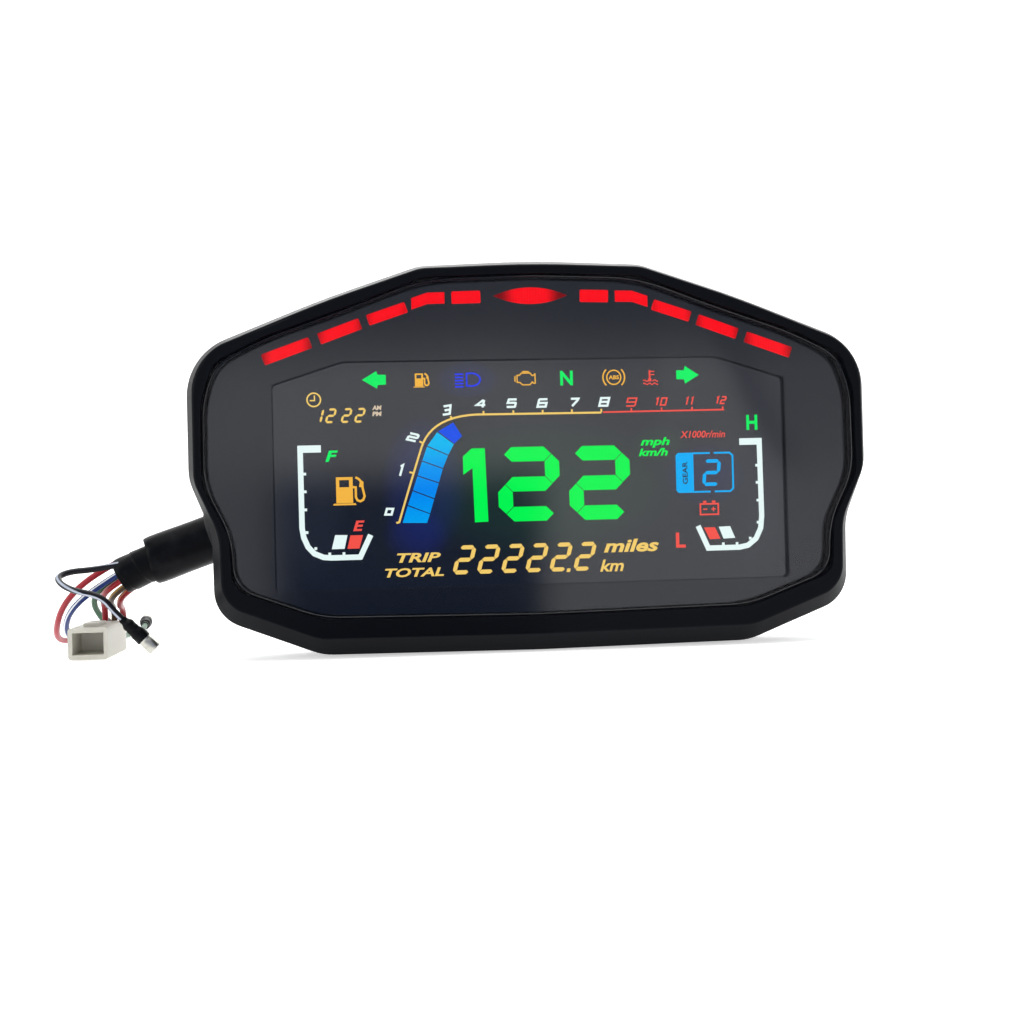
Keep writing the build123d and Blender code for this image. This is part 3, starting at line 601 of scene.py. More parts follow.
def natural_nylon(name):
    """Unpigmented nylon: creamy, slightly see-through looking, with moulding flow lines."""
    f = Finish(name)
    flow = f.noise(7 * MM, 2.0, vector=f.stretched((1.0, 0.25, 1.0)))
    fine = f.noise(0.3 * MM, 2.0)
    base = f.mix(flow, (0.50, 0.485, 0.42, 1.0), (0.66, 0.645, 0.57, 1.0))
    fixed = {"Subsurface_Weight": 0.12, "Subsurface_Radius": (0.002, 0.002, 0.0015)}
    return f.surface(base, 0.36 + fine * 0.14, fine, 0.006 * MM, **fixed)


def insulation(name, colour, tracer=None, tracer_at=0.12, tracer_wide=0.16):
    """Extruded vinyl insulation: glossy, with faint drawing rings along it, and a tracer
    stripe that keeps to one side of the wire where its colour has one."""
    f = Finish(name)
    around, along, _ = f.axes(f.node("UVMap", "UV", uv_map="UVMap"))
    unrolled = f.node("CombineXYZ", 0, {0: around * 0.004, 1: along})
    rings_mark = f.noise(1.3 * MM, 2.0, vector=unrolled)
    base = f.mix(rings_mark, shade(colour, 0.8), shade(colour, 1.15))
    if tracer:
        waver = (f.noise(11 * MM, 1.0) - 0.5) * 0.05
        away = f.maths("ABSOLUTE", around + waver - tracer_at)
        stripe = 1.0 - f.smooth(away, tracer_wide / 2.0 - 0.012, tracer_wide / 2.0 + 0.012)
        base = f.mix(stripe, base, tracer)
    height = f.noise(0.35 * MM, 2.0)
    rough = 0.26 + rings_mark * 0.14
    return f.surface(base, rough, height, 0.008 * MM, Specular_IOR_Level=0.35)


def wrapped_vinyl(name, colour, rough, crease):
    """Black vinyl sleeve or tape: glossy, with shallow creases and dusty duller patches."""
    f = Finish(name)
    folds = f.noise(3.2 * MM, 3.0, vector=f.stretched((2.2, 1.0, 1.0)))
    dust = f.smooth(f.noise(6 * MM, 3.0), 0.5, 0.75)
    base = f.mix(dust * 0.5, colour, (0.010, 0.011, 0.014, 1.0))
    rough = rough + dust * 0.12
    return f.surface(base, rough, folds, crease * MM, Specular_IOR_Level=0.10)


# ---- wires
WIRE_R = 0.9 * MM
WIRE_ROUTES = {
    "wire_red": [
        (-0.1182, 0.0104, 0.0281), (-0.128, 0.011, 0.0235),
        (-0.138, 0.016, 0.015), (-0.144, 0.028, 0.0055),
        (-0.146, 0.042, 0.001), (-0.143, 0.057, 0.001),
        (-0.145, 0.072, 0.0012), (-0.144, 0.084, 0.0022),
    ],
    "wire_blue_white": [
        (-0.1176, 0.0071, 0.0248), (-0.126, 0.0075, 0.020),
        (-0.1345, 0.0105, 0.0135), (-0.139, 0.020, 0.0065),
        (-0.1385, 0.033, 0.0011), (-0.136, 0.047, 0.001),
        (-0.138, 0.061, 0.0012), (-0.136, 0.073, 0.0022),
    ],
    "wire_green": [
        (-0.1173, 0.0125, 0.0242), (-0.1255, 0.015, 0.0205),
        (-0.132, 0.024, 0.015), (-0.131, 0.035, 0.0075),
        (-0.1285, 0.046, 0.0015), (-0.130, 0.059, 0.001),
        (-0.127, 0.073, 0.0012), (-0.129, 0.085, 0.0022),
    ],
    "wire_black_white": [
        (-0.1185, 0.0082, 0.0265), (-0.1265, 0.0075, 0.0250),
        (-0.133, 0.0045, 0.0248), (-0.1355, -0.0005, 0.0232),
        (-0.1310, -0.0038, 0.0200), (-0.1222, -0.003, 0.0180), (-0.1186, -0.0025, 0.013),
        (-0.1149, -0.0022, 0.0093),
    ],
    "wire_sensor_red": [
        (-0.1167, 0.0071, 0.023), (-0.1224, 0.008, 0.0198),
        (-0.127, 0.017, 0.0165), (-0.1288, 0.027, 0.0138),
        (-0.1288, 0.0282, 0.0086), (-0.1288, 0.0248, 0.0046), (-0.1288, 0.0165, 0.0048),
    ],
    "wire_sensor_brown": [
        (-0.1158, 0.0081, 0.0213), (-0.1208, 0.009, 0.0184),
        (-0.125, 0.0175, 0.0148), (-0.126, 0.0265, 0.013),
        (-0.126, 0.0281, 0.0082), (-0.126, 0.0248, 0.0045), (-0.126, 0.0165, 0.0048),
    ],
    "wire_sensor_dark_red": [
        (-0.1151, 0.010, 0.0201), (-0.1198, 0.011, 0.0172),
        (-0.1224, 0.0185, 0.0136), (-0.1232, 0.026, 0.0126),
        (-0.1232, 0.0278, 0.008), (-0.1232, 0.0246, 0.0044), (-0.1232, 0.0165, 0.0048),
    ],
}
SOCKET_WIRES = ("red", "blue_white", "green", "black_white")


def smooth_line(name, route, steps=14):
    """Points read from the smooth spline that has the route as its control points."""
    curve = bpy.data.curves.new(name + "_line", "CURVE")
    curve.dimensions = "3D"
    spline = curve.splines.new("NURBS")
    spline.points.add(len(route) - 1)
    spline.points.foreach_set("co", [c for point in route for c in (*point, 1.0)])
    spline.order_u = 3
    spline.use_endpoint_u = True
    spline.resolution_u = steps
    curve.resolution_u = steps
    holder = bpy.data.objects.new(name + "_line", curve)
    SCENE.collection.objects.link(holder)
    bpy.context.view_layer.update()
    mesh = bpy.data.meshes.new_from_object(holder)
    line = np.empty(len(mesh.vertices) * 3, np.float32)
    mesh.vertices.foreach_get("co", line)
    bpy.data.objects.remove(holder)
    bpy.data.curves.remove(curve)
    bpy.data.meshes.remove(mesh)
    return line.reshape(-1, 3).astype(float)


def far(line):
    """Distance along a line at each of its points, in metres."""
    steps = np.linalg.norm(np.diff(line, axis=0), axis=1)
    return np.concatenate([[0.0], np.cumsum(steps)])


def wire_end(name):
    """A wire's last point and the direction of its last run."""
    before, end = (np.array(p) for p in WIRE_ROUTES[name][-2:])
    return end, unit(end - before)


def make_wire(name, material):
    """Round wire along its smooth line: a circle of even radius square to the line."""
    line = smooth_line(name, WIRE_ROUTES[name])
    mesh = grid_mesh(name, rings(line, WIRE_R, 20), uv=far(line))
    made = piece(name + "_run", [mesh], material)
    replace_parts(made, name)


def make_crimp(name, material):
    """Heat-shrink sleeve, shrunk tight on the wire, swelling over the crimped barrel, with two
    pressed dents and a rolled end over the socket. The radius is a smooth run of bulges."""
    end, along = wire_end("wire_" + name)
    s = np.linspace(0.0, 8.5, 44)
    swell = 1.12 + 0.72 / (1.0 + np.exp(-(s - 1.7) * 3.4)) + 0.30 / (1.0 + np.exp(-(s - 5.6) * 5.0))
    dents = 0.13 * np.exp(-(((s - 3.3) / 0.5) ** 2)) + 0.09 * np.exp(-(((s - 4.7) / 0.4) ** 2))
    radius = (swell - dents)[:, None] + 0.05 * np.sin(spread(3, 40) + s[:, None] * 1.3)
    radius = np.minimum(radius, 2.16)
    radius[-2:] -= np.array([[0.04], [0.12]])
    inner = np.array([8.48, 8.0])
    stations = np.concatenate([s, inner])[:, None] * MM
    radius = np.concatenate([radius, np.full((2, 40), 1.5)]) * MM
    radius[-1] = 0.2 * MM
    points = turned(end - along * 2.8 * MM, along, stations, radius, 40)
    made = piece(name + "_crimp_cover", [grid_mesh(name, points)], material)
    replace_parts(made, name + "_crimp_sleeve")
    return made


def make_socket(name, material):
    """Bullet socket: a rolled tin-plated tube, slightly waisted, with a rounded lip and a bore."""
    end, along = wire_end("wire_" + name)
    outer_s = np.array([0.0, 0.4, 1.6, 2.6, 2.85, 3.1, 3.4, 4.4, 5.6, 6.2, 6.5, 6.6, 6.55])
    outer_r = np.array([1.7, 1.9, 1.95, 1.95, 1.82, 1.82, 1.95, 1.99, 2.0, 1.98, 1.88, 1.72, 1.58])
    inner_s = np.array([6.3, 5.4, 3.6, 1.4, 1.2])
    inner_r = np.array([1.48, 1.42, 1.4, 1.4, 0.3])
    stations = np.concatenate([outer_s, inner_s])[:, None] * MM
    radius = np.concatenate([outer_r, inner_r])[:, None] * MM
    points = turned(end + along * 3.2 * MM, along, stations, radius, 48)
    made = piece(name + "_bullet_socket", [grid_mesh(name, points)], material)
    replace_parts(made, name + "_socket")
    return made


def make_wires():
    """The seven wires, with a socket and a heat-shrink sleeve on each of the four that end in sockets; the
    other three run to the three-way connector.
    """
    black = wrapped_vinyl("heat_shrink", (0.004, 0.0042, 0.0055, 1.0), 0.34, 0.05)
    tin = metal("tin_plate", (0.62, 0.61, 0.55, 1.0), 0.30, 0.2)
    white = (0.72, 0.74, 0.78, 1.0)
    grey = (0.45, 0.50, 0.60, 1.0)
    looks = {
        "red": insulation("red_vinyl", (0.34, 0.004, 0.016, 1.0)),
        "blue_white": insulation("blue_vinyl", (0.003, 0.022, 0.15, 1.0), white, 0.36, 0.08),
        "green": insulation("green_vinyl", (0.005, 0.09, 0.025, 1.0)),
        "black_white": insulation("black_vinyl", (0.005, 0.005, 0.009, 1.0), grey, 0.30, 0.12),
    }
    for name in SOCKET_WIRES:
        ends = [make_crimp(name, black), make_socket(name, tin)]
        make_wire("wire_" + name, looks[name])
    red = insulation("sensor_red_vinyl", (0.30, 0.006, 0.012, 1.0))
    make_wire("wire_sensor_red", red)
    brown = insulation("brown_vinyl", (0.05, 0.024, 0.008, 1.0), (0.45, 0.26, 0.04, 1.0), 0.45, 0.1)
    make_wire("wire_sensor_brown", brown)
    dark = insulation("dark_red_vinyl", (0.24, 0.006, 0.012, 1.0), (0.65, 0.22, 0.10, 1.0), 0.42, 0.08)
    make_wire("wire_sensor_dark_red", dark)


# ---- harness
SPOUT_MOUTH = np.array([-84.0, 11.0, 36.3]) * MM
SPOUT_SLOPE = math.radians(19.0)
HARNESS_AXIS = np.array([-math.cos(SPOUT_SLOPE), 0.0, -math.sin(SPOUT_SLOPE)])
TAPE_END = (-0.1197, 0.011, 0.0224)
TAPE_PITCH, TAPE_RADIUS = 5.2, 5.28


def make_sleeve():
    """Vinyl sleeve: a thin-walled tube along the harness axis, with a rounded, wavy open end
    and a slight dip where it is pressed, closed back on itself through its bore."""
    around = 72
    lap = spread(1, around)
    s = np.array([-6.0, 0.0, 4.0, 9.0, 14.0, 18.0, 22.0, 24.5, 26.5, 27.6, 28.2, 28.5, 28.5, 28.2])
    r = np.array([7.1, 7.1, 7.12, 7.05, 7.0, 7.02, 7.1, 7.14, 7.12, 7.05, 6.95, 6.75, 6.45, 6.2])
    back_s = np.array([26.0, 20.0, 12.0, 4.0, -6.0])
    back_r = np.full(5, 6.1)
    near = np.clip((np.concatenate([s, back_s]) - 18.0) / 10.5, 0.0, 1.0)[:, None] ** 2
    stations = np.concatenate([s, back_s])[:, None] + near * (0.55 * np.sin(lap * 2 + 0.7) - 0.2)
    radius = np.concatenate([r, back_r])[:, None] + near * 0.12 * np.sin(lap * 3 + 1.2)
    points = turned(SPOUT_MOUTH, HARNESS_AXIS, stations * MM, radius * MM, around)
    mesh = grid_mesh("sleeve", points, loop_rows=True)
    vinyl = wrapped_vinyl("sleeve_vinyl", (0.0018, 0.0022, 0.0034, 1.0), 0.30, 0.07)
    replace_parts(piece("harness_cover", [mesh], vinyl), "harness_sleeve")


def make_tape():
    """Vinyl tape wound round the bundle: the radius steps down along a helix, once a turn,
    and tightens towards the end where the wires leave."""
    start = tuple(SPOUT_MOUTH + HARNESS_AXIS * 14.0 * MM)
    elbow = tuple(SPOUT_MOUTH + HARNESS_AXIS * 29.0 * MM)
    line = smooth_line("tape", [start, elbow, TAPE_END], 90)
    around = 64
    along = far(line)[:, None] / MM
    phase = (along / TAPE_PITCH - spread(1, around) / FULL_TURN) % 1.0
    step = 0.20 * np.clip(phase / 0.9, 0.0, 1.0) - 0.2 * np.clip((phase - 0.9) / 0.1, 0.0, 1.0)
    lumps = 0.10 * np.sin(spread(5, around) + 0.4 * along) * np.clip(along / 20.0, 0.0, 1.0)
    radius = TAPE_RADIUS + step + lumps
    end = along[-1] - along
    radius = radius - 0.35 * np.exp(-end / 0.5)
    mesh = grid_mesh("tape", rings(line, radius * MM, around, (0.0, 1.0, 0.0)))
    vinyl = wrapped_vinyl("tape_vinyl", (0.0020, 0.0024, 0.0036, 1.0), 0.38, 0.05)
    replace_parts(piece("tape_winding", [mesh], vinyl), "tape_wrap")


# ---- lens edge
EDGE_R = 0.30
EDGE_HALF = [(0, 104.1), (30.0, 103.2), (49.8, 95.6), (73.3, 87.4), (86.6, 80.7), (90.2, 70.5)]
EDGE_HALF += [(90.5, 47.8), (83.6, 33.9), (83.0, 19.7), (59.7, 11.0), (0, 10.1)]
EDGE_EASE = [0, 9.0, 6.0, 6.0, 5.0, 5.0, 6.0, 6.0, 6.0, 6.0, 0]


def make_lens_edge():
    """Bead of clear glue round the lens: a fine ring that follows the opening, whose corners
    are eased by parabolas that start and end a set distance from each."""
    half = np.array(EDGE_HALF, float)
    left = half[1:-1][::-1] * (-1.0, 1.0)
    loop = np.concatenate([half, left])
    ease = EDGE_EASE + EDGE_EASE[1:-1][::-1]
    line = []
    for k, reach in enumerate(ease):
        before, here, after = loop[k - 1], loop[k], loop[(k + 1) % len(loop)]
        if reach:
            ends = [here + unit(other - here) * reach for other in (before, after)]
            line += bend(ends[0], here, ends[1], 14)
        else:
            line.append(tuple(here))
    line = np.array(line)
    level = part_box("lens")[0].y - 0.12 * MM
    path = np.stack([line[:, 0] * MM, np.full(len(line), level), line[:, 1] * MM], -1)
    mesh = grid_mesh("bead", rings(path, EDGE_R * MM, 12, (0.0, 1.0, 0.0)), loop_rows=True)
    gloss = moulded("clear_glue", (0.004, 0.0045, 0.006, 1.0), 0.12, 1.5, 0.002, 0.6)
    piece("lens_edge", [mesh], gloss)


# ---- display
SCALE_FOOT = (-38.1, 36.6)
SCALE_TURN = (-31.5, 57.0)
SCALE_LEVEL = 66.2
SCALE_SPLIT = 19.6
SCALE_END = 55.0
MAJOR_X = (-13.8, -5.4, 2.9, 11.2, 19.6)
RED_X = (28.2, 36.9, 45.7, 54.6)
CELL_FILL = 0.86
DIAL_SLANT = 15.0

# strokes of the squarish figures: x from -1 to 1, z from -1 to 1
FIGURE_STROKES = {
    "0": [([(-1, -1), (1, -1), (1, 1), (-1, 1)], True)],
    "1": [([(-0.2, 0.75), (0.5, 1), (0.5, -1)], False)],
    "2": [
        ([(-1, 1), (0.8, 1), (1, 0.8), (1, 0.2), (0.8, 0), (-0.8, 0), (-1, -0.2), (-1, -1), (1, -1)], False)
    ],
    "3": [([(-1, 1), (1, 1), (1, -1), (-1, -1)], False), ([(-0.6, 0), (1, 0)], False)],
    "4": [([(1, -0.35), (-1, -0.35), (0.35, 1)], False), ([(0.5, 1), (0.5, -1)], False)],
    "5": [([(1, 1), (-0.9, 1), (-1, 0.1), (0.9, 0.1), (1, 0), (1, -0.9), (0.9, -1), (-1, -1)], False)],
    "6": [([(1, 1), (-0.8, 1), (-1, 0.8), (-1, -1), (1, -1), (1, 0), (-1, 0)], False)],
    "7": [([(-1, 1), (1, 1), (0.9, 0.6), (-0.2, -1)], False)],
    "8": [([(-1, -1), (1, -1), (1, 1), (-1, 1)], True), ([(-1, 0), (1, 0)], False)],
    "9": [([(1, 0), (-1, 0), (-1, 1), (1, 1), (1, -0.8), (0.8, -1), (-1, -1)], False)],
}


def figures(text, centre, size, stroke, turn=0.0):
    """Squarish dial figures: even bands along each figure's strokes, in cells side by side,
    leaning and turned as a whole."""
    cell = size[0] / len(text)
    half = np.array([(cell * CELL_FILL - stroke) / 2.0, (size[1] - stroke) / 2.0])
    lean, angle = math.tan(math.radians(DIAL_SLANT)), math.radians(turn)
    spin = np.array([[math.cos(angle), -math.sin(angle)], [math.sin(angle), math.cos(angle)]])
    parts = []
    for place, figure in enumerate(text):
        for points, closed in FIGURE_STROKES[figure]:
            flat = np.array(points, float) * half
            flat[:, 0] += flat[:, 1] * lean + cell * (place - (len(text) - 1) / 2.0)
            parts.append(band(flat @ spin.T + np.array(centre), stroke, closed))
    return parts


def tach_scale(amber, red):
    """The rev counter's line: a leaning foot, a sweep, then level, with a tick at each figure."""
    line = [(-38.9, 36.4), SCALE_FOOT, (-36.4, 42.0), (-34.6, 47.6)]
    line += bend(SCALE_TURN, (-28.7, SCALE_LEVEL - 0.4), (-15.8, SCALE_LEVEL))
    line += [(SCALE_SPLIT, SCALE_LEVEL - 0.1)]
    parts = [band(line, 0.56)]
    parts += [band([(-34.9, 50.5), (-33.9, 50.2)], 0.5), band([(-31.9, 59.0), (-31.0, 58.5)], 0.5)]
    parts += [band([(-23.1, 65.9), (-22.7, 65.1)], 0.5)]
    parts += [band([(x, SCALE_LEVEL), (x, SCALE_LEVEL + 0.95)], 0.5) for x in MAJOR_X]
    legend("scale", parts, amber)
    parts = [band([(SCALE_SPLIT + 0.5, SCALE_LEVEL), (SCALE_END, SCALE_LEVEL + 0.1)], 0.45)]
    parts += [band([(x, SCALE_LEVEL), (x, SCALE_LEVEL + 1.0)], 0.45) for x in RED_X]
    legend("scale_red", parts, red)


def tach_figures(white, red):
    """Wide leaning figures along the scale."""
    rows = [
        ("0", (-40.8, 39.6), (2.7, 2.2), -2.0),
        ("1", (-37.5, 51.0), (2.5, 3.6), -2.0),
        ("2", (-33.7, 60.2), (3.6, 2.5), -14.0),
        ("3", (-24.1, 67.6), (3.0, 2.9), 8.0),
        ("4", (-14.4, 69.2), (3.6, 2.7), 0.0),
        ("5", (-5.8, 69.2), (3.4, 2.7), 0.0),
        ("6", (2.9, 69.1), (3.4, 2.7), 0.0),
        ("7", (11.8, 69.1), (3.2, 2.7), 0.0),
        ("8", (20.5, 69.1), (3.4, 2.8), 0.0),
    ]
    parts = [mesh for text, at, size, turn in rows for mesh in figures(text, at, size, 0.62, turn)]
    legend("figures", parts, white)
    rows = [("9", (28.3, 68.9), (3.4, 2.6)), ("10", (36.5, 68.9), (4.3, 2.4))]
    rows += [("11", (44.9, 68.9), (2.9, 2.4)), ("12", (53.9, 69.0), (3.8, 2.3))]
    parts = [mesh for text, at, size in rows for mesh in figures(text, at, size, 0.42)]
    parts.append(letters("X1000r/min", (48.6, 59.4), (13.0, 2.0), 0.2, 0.012))
    legend("figures_red", parts, red)


def tach_bars():
    """Seven bars between an outer and an inner edge that sweep up beside the scale."""
    outer = [(-37.2, 36.2), (-35.6, 41.2), (-34.1, 45.3), (-32.7, 49.4)]
    outer += [(-31.3, 53.5), (-29.8, 57.6), (-26.8, 61.6), (-22.2, 64.2)]
    inner = [(-30.4, 36.1), (-29.5, 38.7), (-28.2, 42.9), (-26.8, 47.3)]
    inner += [(-25.6, 51.3), (-24.0, 55.0), (-22.3, 58.1), (-19.9, 60.3)]
    drawn_in = 0.035
    parts = []
    for low in range(len(outer) - 1):
        quad = np.array([outer[low], outer[low + 1], inner[low + 1], inner[low]])
        parts.append(slab(quad + (quad[[1, 0, 3, 2]] - quad) * drawn_in))
    deep = lit_ink("deep_ink", tint(25, 84, 240))
    legend("last_bar", [parts.pop()], deep)
    legend("bars", parts, bar_ink("bar_ink"))


def speed(green):
    """The large speed figures and their unit words."""
    one = [(-19.9, 54.5), (-17.4, 56.7), (-13.7, 56.7), (-13.2, 36.1), (-17.0, 36.0)]
    parts = [slab(one + [(-17.3, 51.2), (-19.9, 49.4)])]
    for centre in ((-1.5, 46.4), (18.6, 46.3)):
        parts += digit("2", centre, 17.6, 20.9, 4.1, -1.2, 0.12)
    parts.append(letters("mph", (34.8, 57.3), (8.4, 2.9), 0.25, 0.03))
    parts.append(letters("km/h", (34.2, 54.6), (8.4, 2.2), 0.25, 0.03))
    legend("speed", parts, green)


def totals(amber):
    """Trip and total distance: six leaning digits with a point, and the words round them."""
    parts = []
    for place in range(6):
        parts += digit("2", (-20.2 + 6.82 * place, 25.6), 5.1, 8.1, 1.15, 15.0, 0.07)
    parts.append(slab(block((9.1, 21.8), 1.0, 1.0, 0.2)))
    parts.append(letters("TRIP", (-32.9, 26.6), (12.2, 2.6), 0.25, 0.03))
    parts.append(letters("TOTAL", (-34.2, 22.5), (16.4, 2.5), 0.25, 0.03))
    parts.append(letters("miles", (27.2, 28.3), (15.8, 3.7), 0.25, 0.03))
    parts.append(letters("km", (21.5, 22.8), (6.8, 3.4), 0.25, 0.02))
    legend("distance", parts, amber)


def clock(amber, cream):
    """Clock face with two hands, the time, and the half-day marks."""
    parts = [band(arc((-60.8, 71.1), 1.85, 0, 360, 41)[:-1], 0.4, closed=True)]
    parts.append(band([(-60.6, 72.3), (-60.6, 70.9), (-61.9, 70.9)], 0.35))
    cells = [("1", -58.9), ("2", -56.2), ("2", -51.9), ("2", -48.2)]
    for figure, x in cells:
        wide = 2.5 if figure == "2" else 1.02
        parts += digit(figure, (x, 66.6), wide, 4.1, 0.60, 15.0, 0.04)
    legend("clock", parts, amber)
    parts = []
    for word, z in (("AM", 68.6), ("PM", 66.9)):
        parts.append(letters(word, (-43.5, z), (2.6, 1.25), 0.12, 0.05))
    legend("half_day", parts, cream)


def gauge(name, line, cap, ticks, chip, white):
    """A tub-shaped gauge frame with a broad top, small inner ticks and one lit block."""
    parts = [band(line, 1.5), slab(cap), slab(chip)]
    parts += [slab(block(at, 0.75, 0.75)) for at in ticks]
    legend(name, parts, white)


def gauges(white, green, red, amber):
    """Fuel on the left and coolant on the right, with their letters, blocks and symbols."""
    left = [(-64.9, 58.2), (-64.9, 35.6), (-64.5, 33.0), (-63.4, 30.4), (-61.7, 28.5), (-59.2, 27.4)]
    left += [(-57.0, 27.2), (-49.1, 27.2), (-46.1, 33.3)]
    cap = [(-65.6, 56.5), (-59.2, 56.5), (-59.2, 58.5), (-65.6, 58.5)]
    ticks = [(-63.8, 50.6), (-63.8, 45.7), (-63.8, 40.7), (-63.6, 34.4), (-61.3, 29.9)]
    ticks += [(-57.5, 28.3), (-53.6, 28.3)]
    chip = [(-56.9, 29.6), (-53.4, 29.6), (-52.5, 33.4), (-55.9, 33.5)]
    gauge("fuel", left, cap, ticks, chip, white)
    right = [(65.0, 57.9), (65.2, 35.7), (64.8, 32.2), (63.4, 29.3), (61.0, 27.4), (58.5, 26.9)]
    right += [(49.4, 26.9), (46.6, 33.3)]
    cap = [(59.2, 56.1), (65.7, 56.1), (65.7, 58.0), (59.2, 58.0)]
    ticks = [(64.1, 50.2), (64.1, 45.3), (64.2, 40.2), (64.1, 33.9), (61.7, 29.4)]
    ticks += [(57.8, 28.0), (53.8, 28.0)]
    chip = [(53.9, 29.5), (57.3, 29.6), (55.9, 33.0), (52.6, 32.9)]
    gauge("coolant", right, cap, ticks, chip, white)
    blocks = [slab([(-52.6, 29.6), (-49.3, 29.6), (-48.2, 33.3), (-51.7, 33.3)])]
    blocks += [slab([(49.9, 29.4), (53.0, 29.5), (51.5, 32.8), (48.3, 32.8)])]
    blocks.append(letters("E", (-49.3, 35.9), (3.2, 2.9), 0.25, 0.03))
    blocks.append(letters("L", (41.5, 29.4), (2.8, 4.3), 0.0, 0.03))
    blocks += battery() + thermometer()
    legend("warnings", blocks, red)
    marks = [letters("F", (-56.3, 55.4), (3.5, 3.1), 0.25, 0.03)]
    marks.append(letters("H", (63.0, 62.5), (3.2, 4.3), 0.0, 0.03))
    marks.append(letters("N", (9.9, 76.0), (3.6, 4.1), 0.0, 0.03))
    turn_left = [(-47.4, 76.4), (-43.3, 73.9), (-43.1, 74.9), (-40.8, 75.0), (-40.8, 77.7)]
    turn_right = [(47.9, 76.3), (43.9, 78.9), (43.6, 77.7), (41.4, 77.7), (41.4, 75.2)]
    marks.append(slab(turn_left + [(-43.1, 77.8), (-43.4, 78.8)]))
    marks.append(slab(turn_right + [(43.6, 75.1), (43.9, 73.9)]))
    legend("signals", marks, green)
    parts = pump((-53.0, 45.8), 1.0) + pump((-31.6, 76.1), 0.5) + engine() + brake_ring()
    legend("symbols", parts, amber)


def pump(centre, scale):
    """A filling pump: a framed window over a solid body, a foot, and a hose with its nozzle."""
    x, z = centre

    def at(dx, dz):
        return x + dx * scale, z + dz * scale

    plates = [(-2.3, 2.3, -3.5, 0.9), (-2.3, 2.3, 2.9, 3.7)]
    plates += [(-2.3, -1.4, 0.9, 2.9), (1.3, 2.3, 0.9, 2.9)]
    parts = [slab([at(a, low), at(b, low), at(b, top), at(a, top)]) for a, b, low, top in plates]
    parts.append(slab([at(-3.2, -4.1), at(3.2, -4.1), at(3.0, -3.6), at(-3.0, -3.6)]))
    hose = [at(2.3, 0.9), at(3.1, 0.8), at(3.1, -1.9), at(3.5, -2.8), at(4.3, -3.1), at(5.1, -2.7)]
    hose += [at(5.5, -1.7), at(5.0, 0.6), at(4.9, 2.0), at(4.0, 3.1), at(3.1, 3.6)]
    parts.append(band(hose, 0.62 * scale**0.5))
    parts.append(slab([at(4.0, 0.9), at(5.2, 0.7), at(5.3, 2.3), at(4.4, 2.9)]))
    return parts


def battery():
    """A battery outline with two posts and its two signs."""
    parts = [band([(47.4, 36.5), (52.6, 36.5), (52.6, 39.5), (47.4, 39.5)], 0.45, closed=True)]
    parts += [slab(block((48.7, 40.1), 1.0, 0.6)), slab(block((51.3, 40.1), 1.0, 0.6))]
    signs = [((48.8, 38.0), 1.2, 0.35), ((51.2, 38.0), 1.2, 0.35), ((51.2, 38.0), 0.35, 1.2)]
    return parts + [slab(block(*sign)) for sign in signs]


def thermometer():
    """A thermometer standing in two waves."""
    parts = [band([(33.7, 77.9), (33.7, 75.2)], 0.5), slab(block((33.7, 75.1), 1.0, 0.8))]
    parts += [slab(block((34.5, 77.5), 1.2, 0.3)), slab(block((34.5, 76.6), 1.2, 0.3))]
    x = np.linspace(31.8, 36.1, 17)
    for level in (74.9, 74.0):
        wave = np.stack([x, level + 0.22 * np.sin((x - 31.8) * 4.3)], -1).tolist()
        parts += [band(wave[:7], 0.3), band(wave[10:], 0.3)] if level > 74.5 else [band(wave, 0.3)]
    return parts


def engine():
    """An engine block outline with its filler cap and side stub."""
    outline = [(-4.1, 75.0), (-4.1, 77.0), (-3.4, 77.0), (-2.9, 77.6), (-0.4, 77.6), (0.1, 76.9)]
    outline += [(0.5, 76.9), (0.9, 77.3), (1.0, 77.3), (1.0, 74.7), (0.5, 74.7), (0.2, 75.1)]
    outline += [(-0.5, 74.3), (-2.6, 74.3), (-3.3, 75.0)]
    parts = [band(outline, 0.32, closed=True), slab(block((-1.7, 78.0), 1.9, 0.35))]
    parts.append(band([(-4.7, 76.8), (-4.7, 75.2)], 0.32))
    return parts


def brake_ring():
    """The anti-lock ring between two arcs."""
    centre = (23.4, 76.0)
    parts = [band(arc(centre, 2.0, 0, 360, 41)[:-1], 0.36, closed=True)]
    parts += [band(arc(centre, 3.1, -46, 46, 14), 0.4), band(arc(centre, 3.1, 134, 226, 14), 0.4)]
    parts.append(letters("ABS", centre, (3.0, 1.15), 0.0, 0.03))
    return parts


def beam(blue):
    """The main beam sign: five rays and a lamp outline."""
    parts = [slab(block((-20.4, 74.05 + 0.88 * row), 2.4, 0.42)) for row in range(5)]
    lamp = [(-18.3, 77.7), (-18.3, 74.3)] + arc((-17.0, 76.0), (2.5, 1.8), -90, 90, 16)
    parts.append(band(lamp, 0.42, closed=True))
    legend("beam", parts, blue)


def gear_box(blue):
    """The gear frame: a filled strip with its word, a broken frame and the gear figure."""
    strip = [(41.3, 42.8), (45.7, 42.8), (45.7, 54.2), (41.3, 54.2), (40.6, 53.5), (40.6, 43.5)]
    parts = [slab(strip)]
    corner = [(51.7, 54.0), (56.2, 54.0), (57.1, 53.2), (57.1, 43.8), (56.2, 43.0), (51.7, 43.0)]
    for run in ([(45.4, 54.0), (50.5, 54.0)], [(45.4, 43.0), (50.5, 43.0)], corner):
        parts.append(band(run, 0.5))
    parts += digit("2", (50.9, 48.4), 5.0, 7.6, 1.0, 5.0, 0.06)
    legend("gear", parts, blue)
    word = [letters("GEAR", (43.2, 48.5), (6.4, 1.5), 0.0, 0.02, turn=90.0, lift=0.06)]
    ink = moulded("dark_ink", (0.0, 0.012, 0.05, 1.0), 0.4)
    piece("display_gear_word", word, ink, smooth=False)


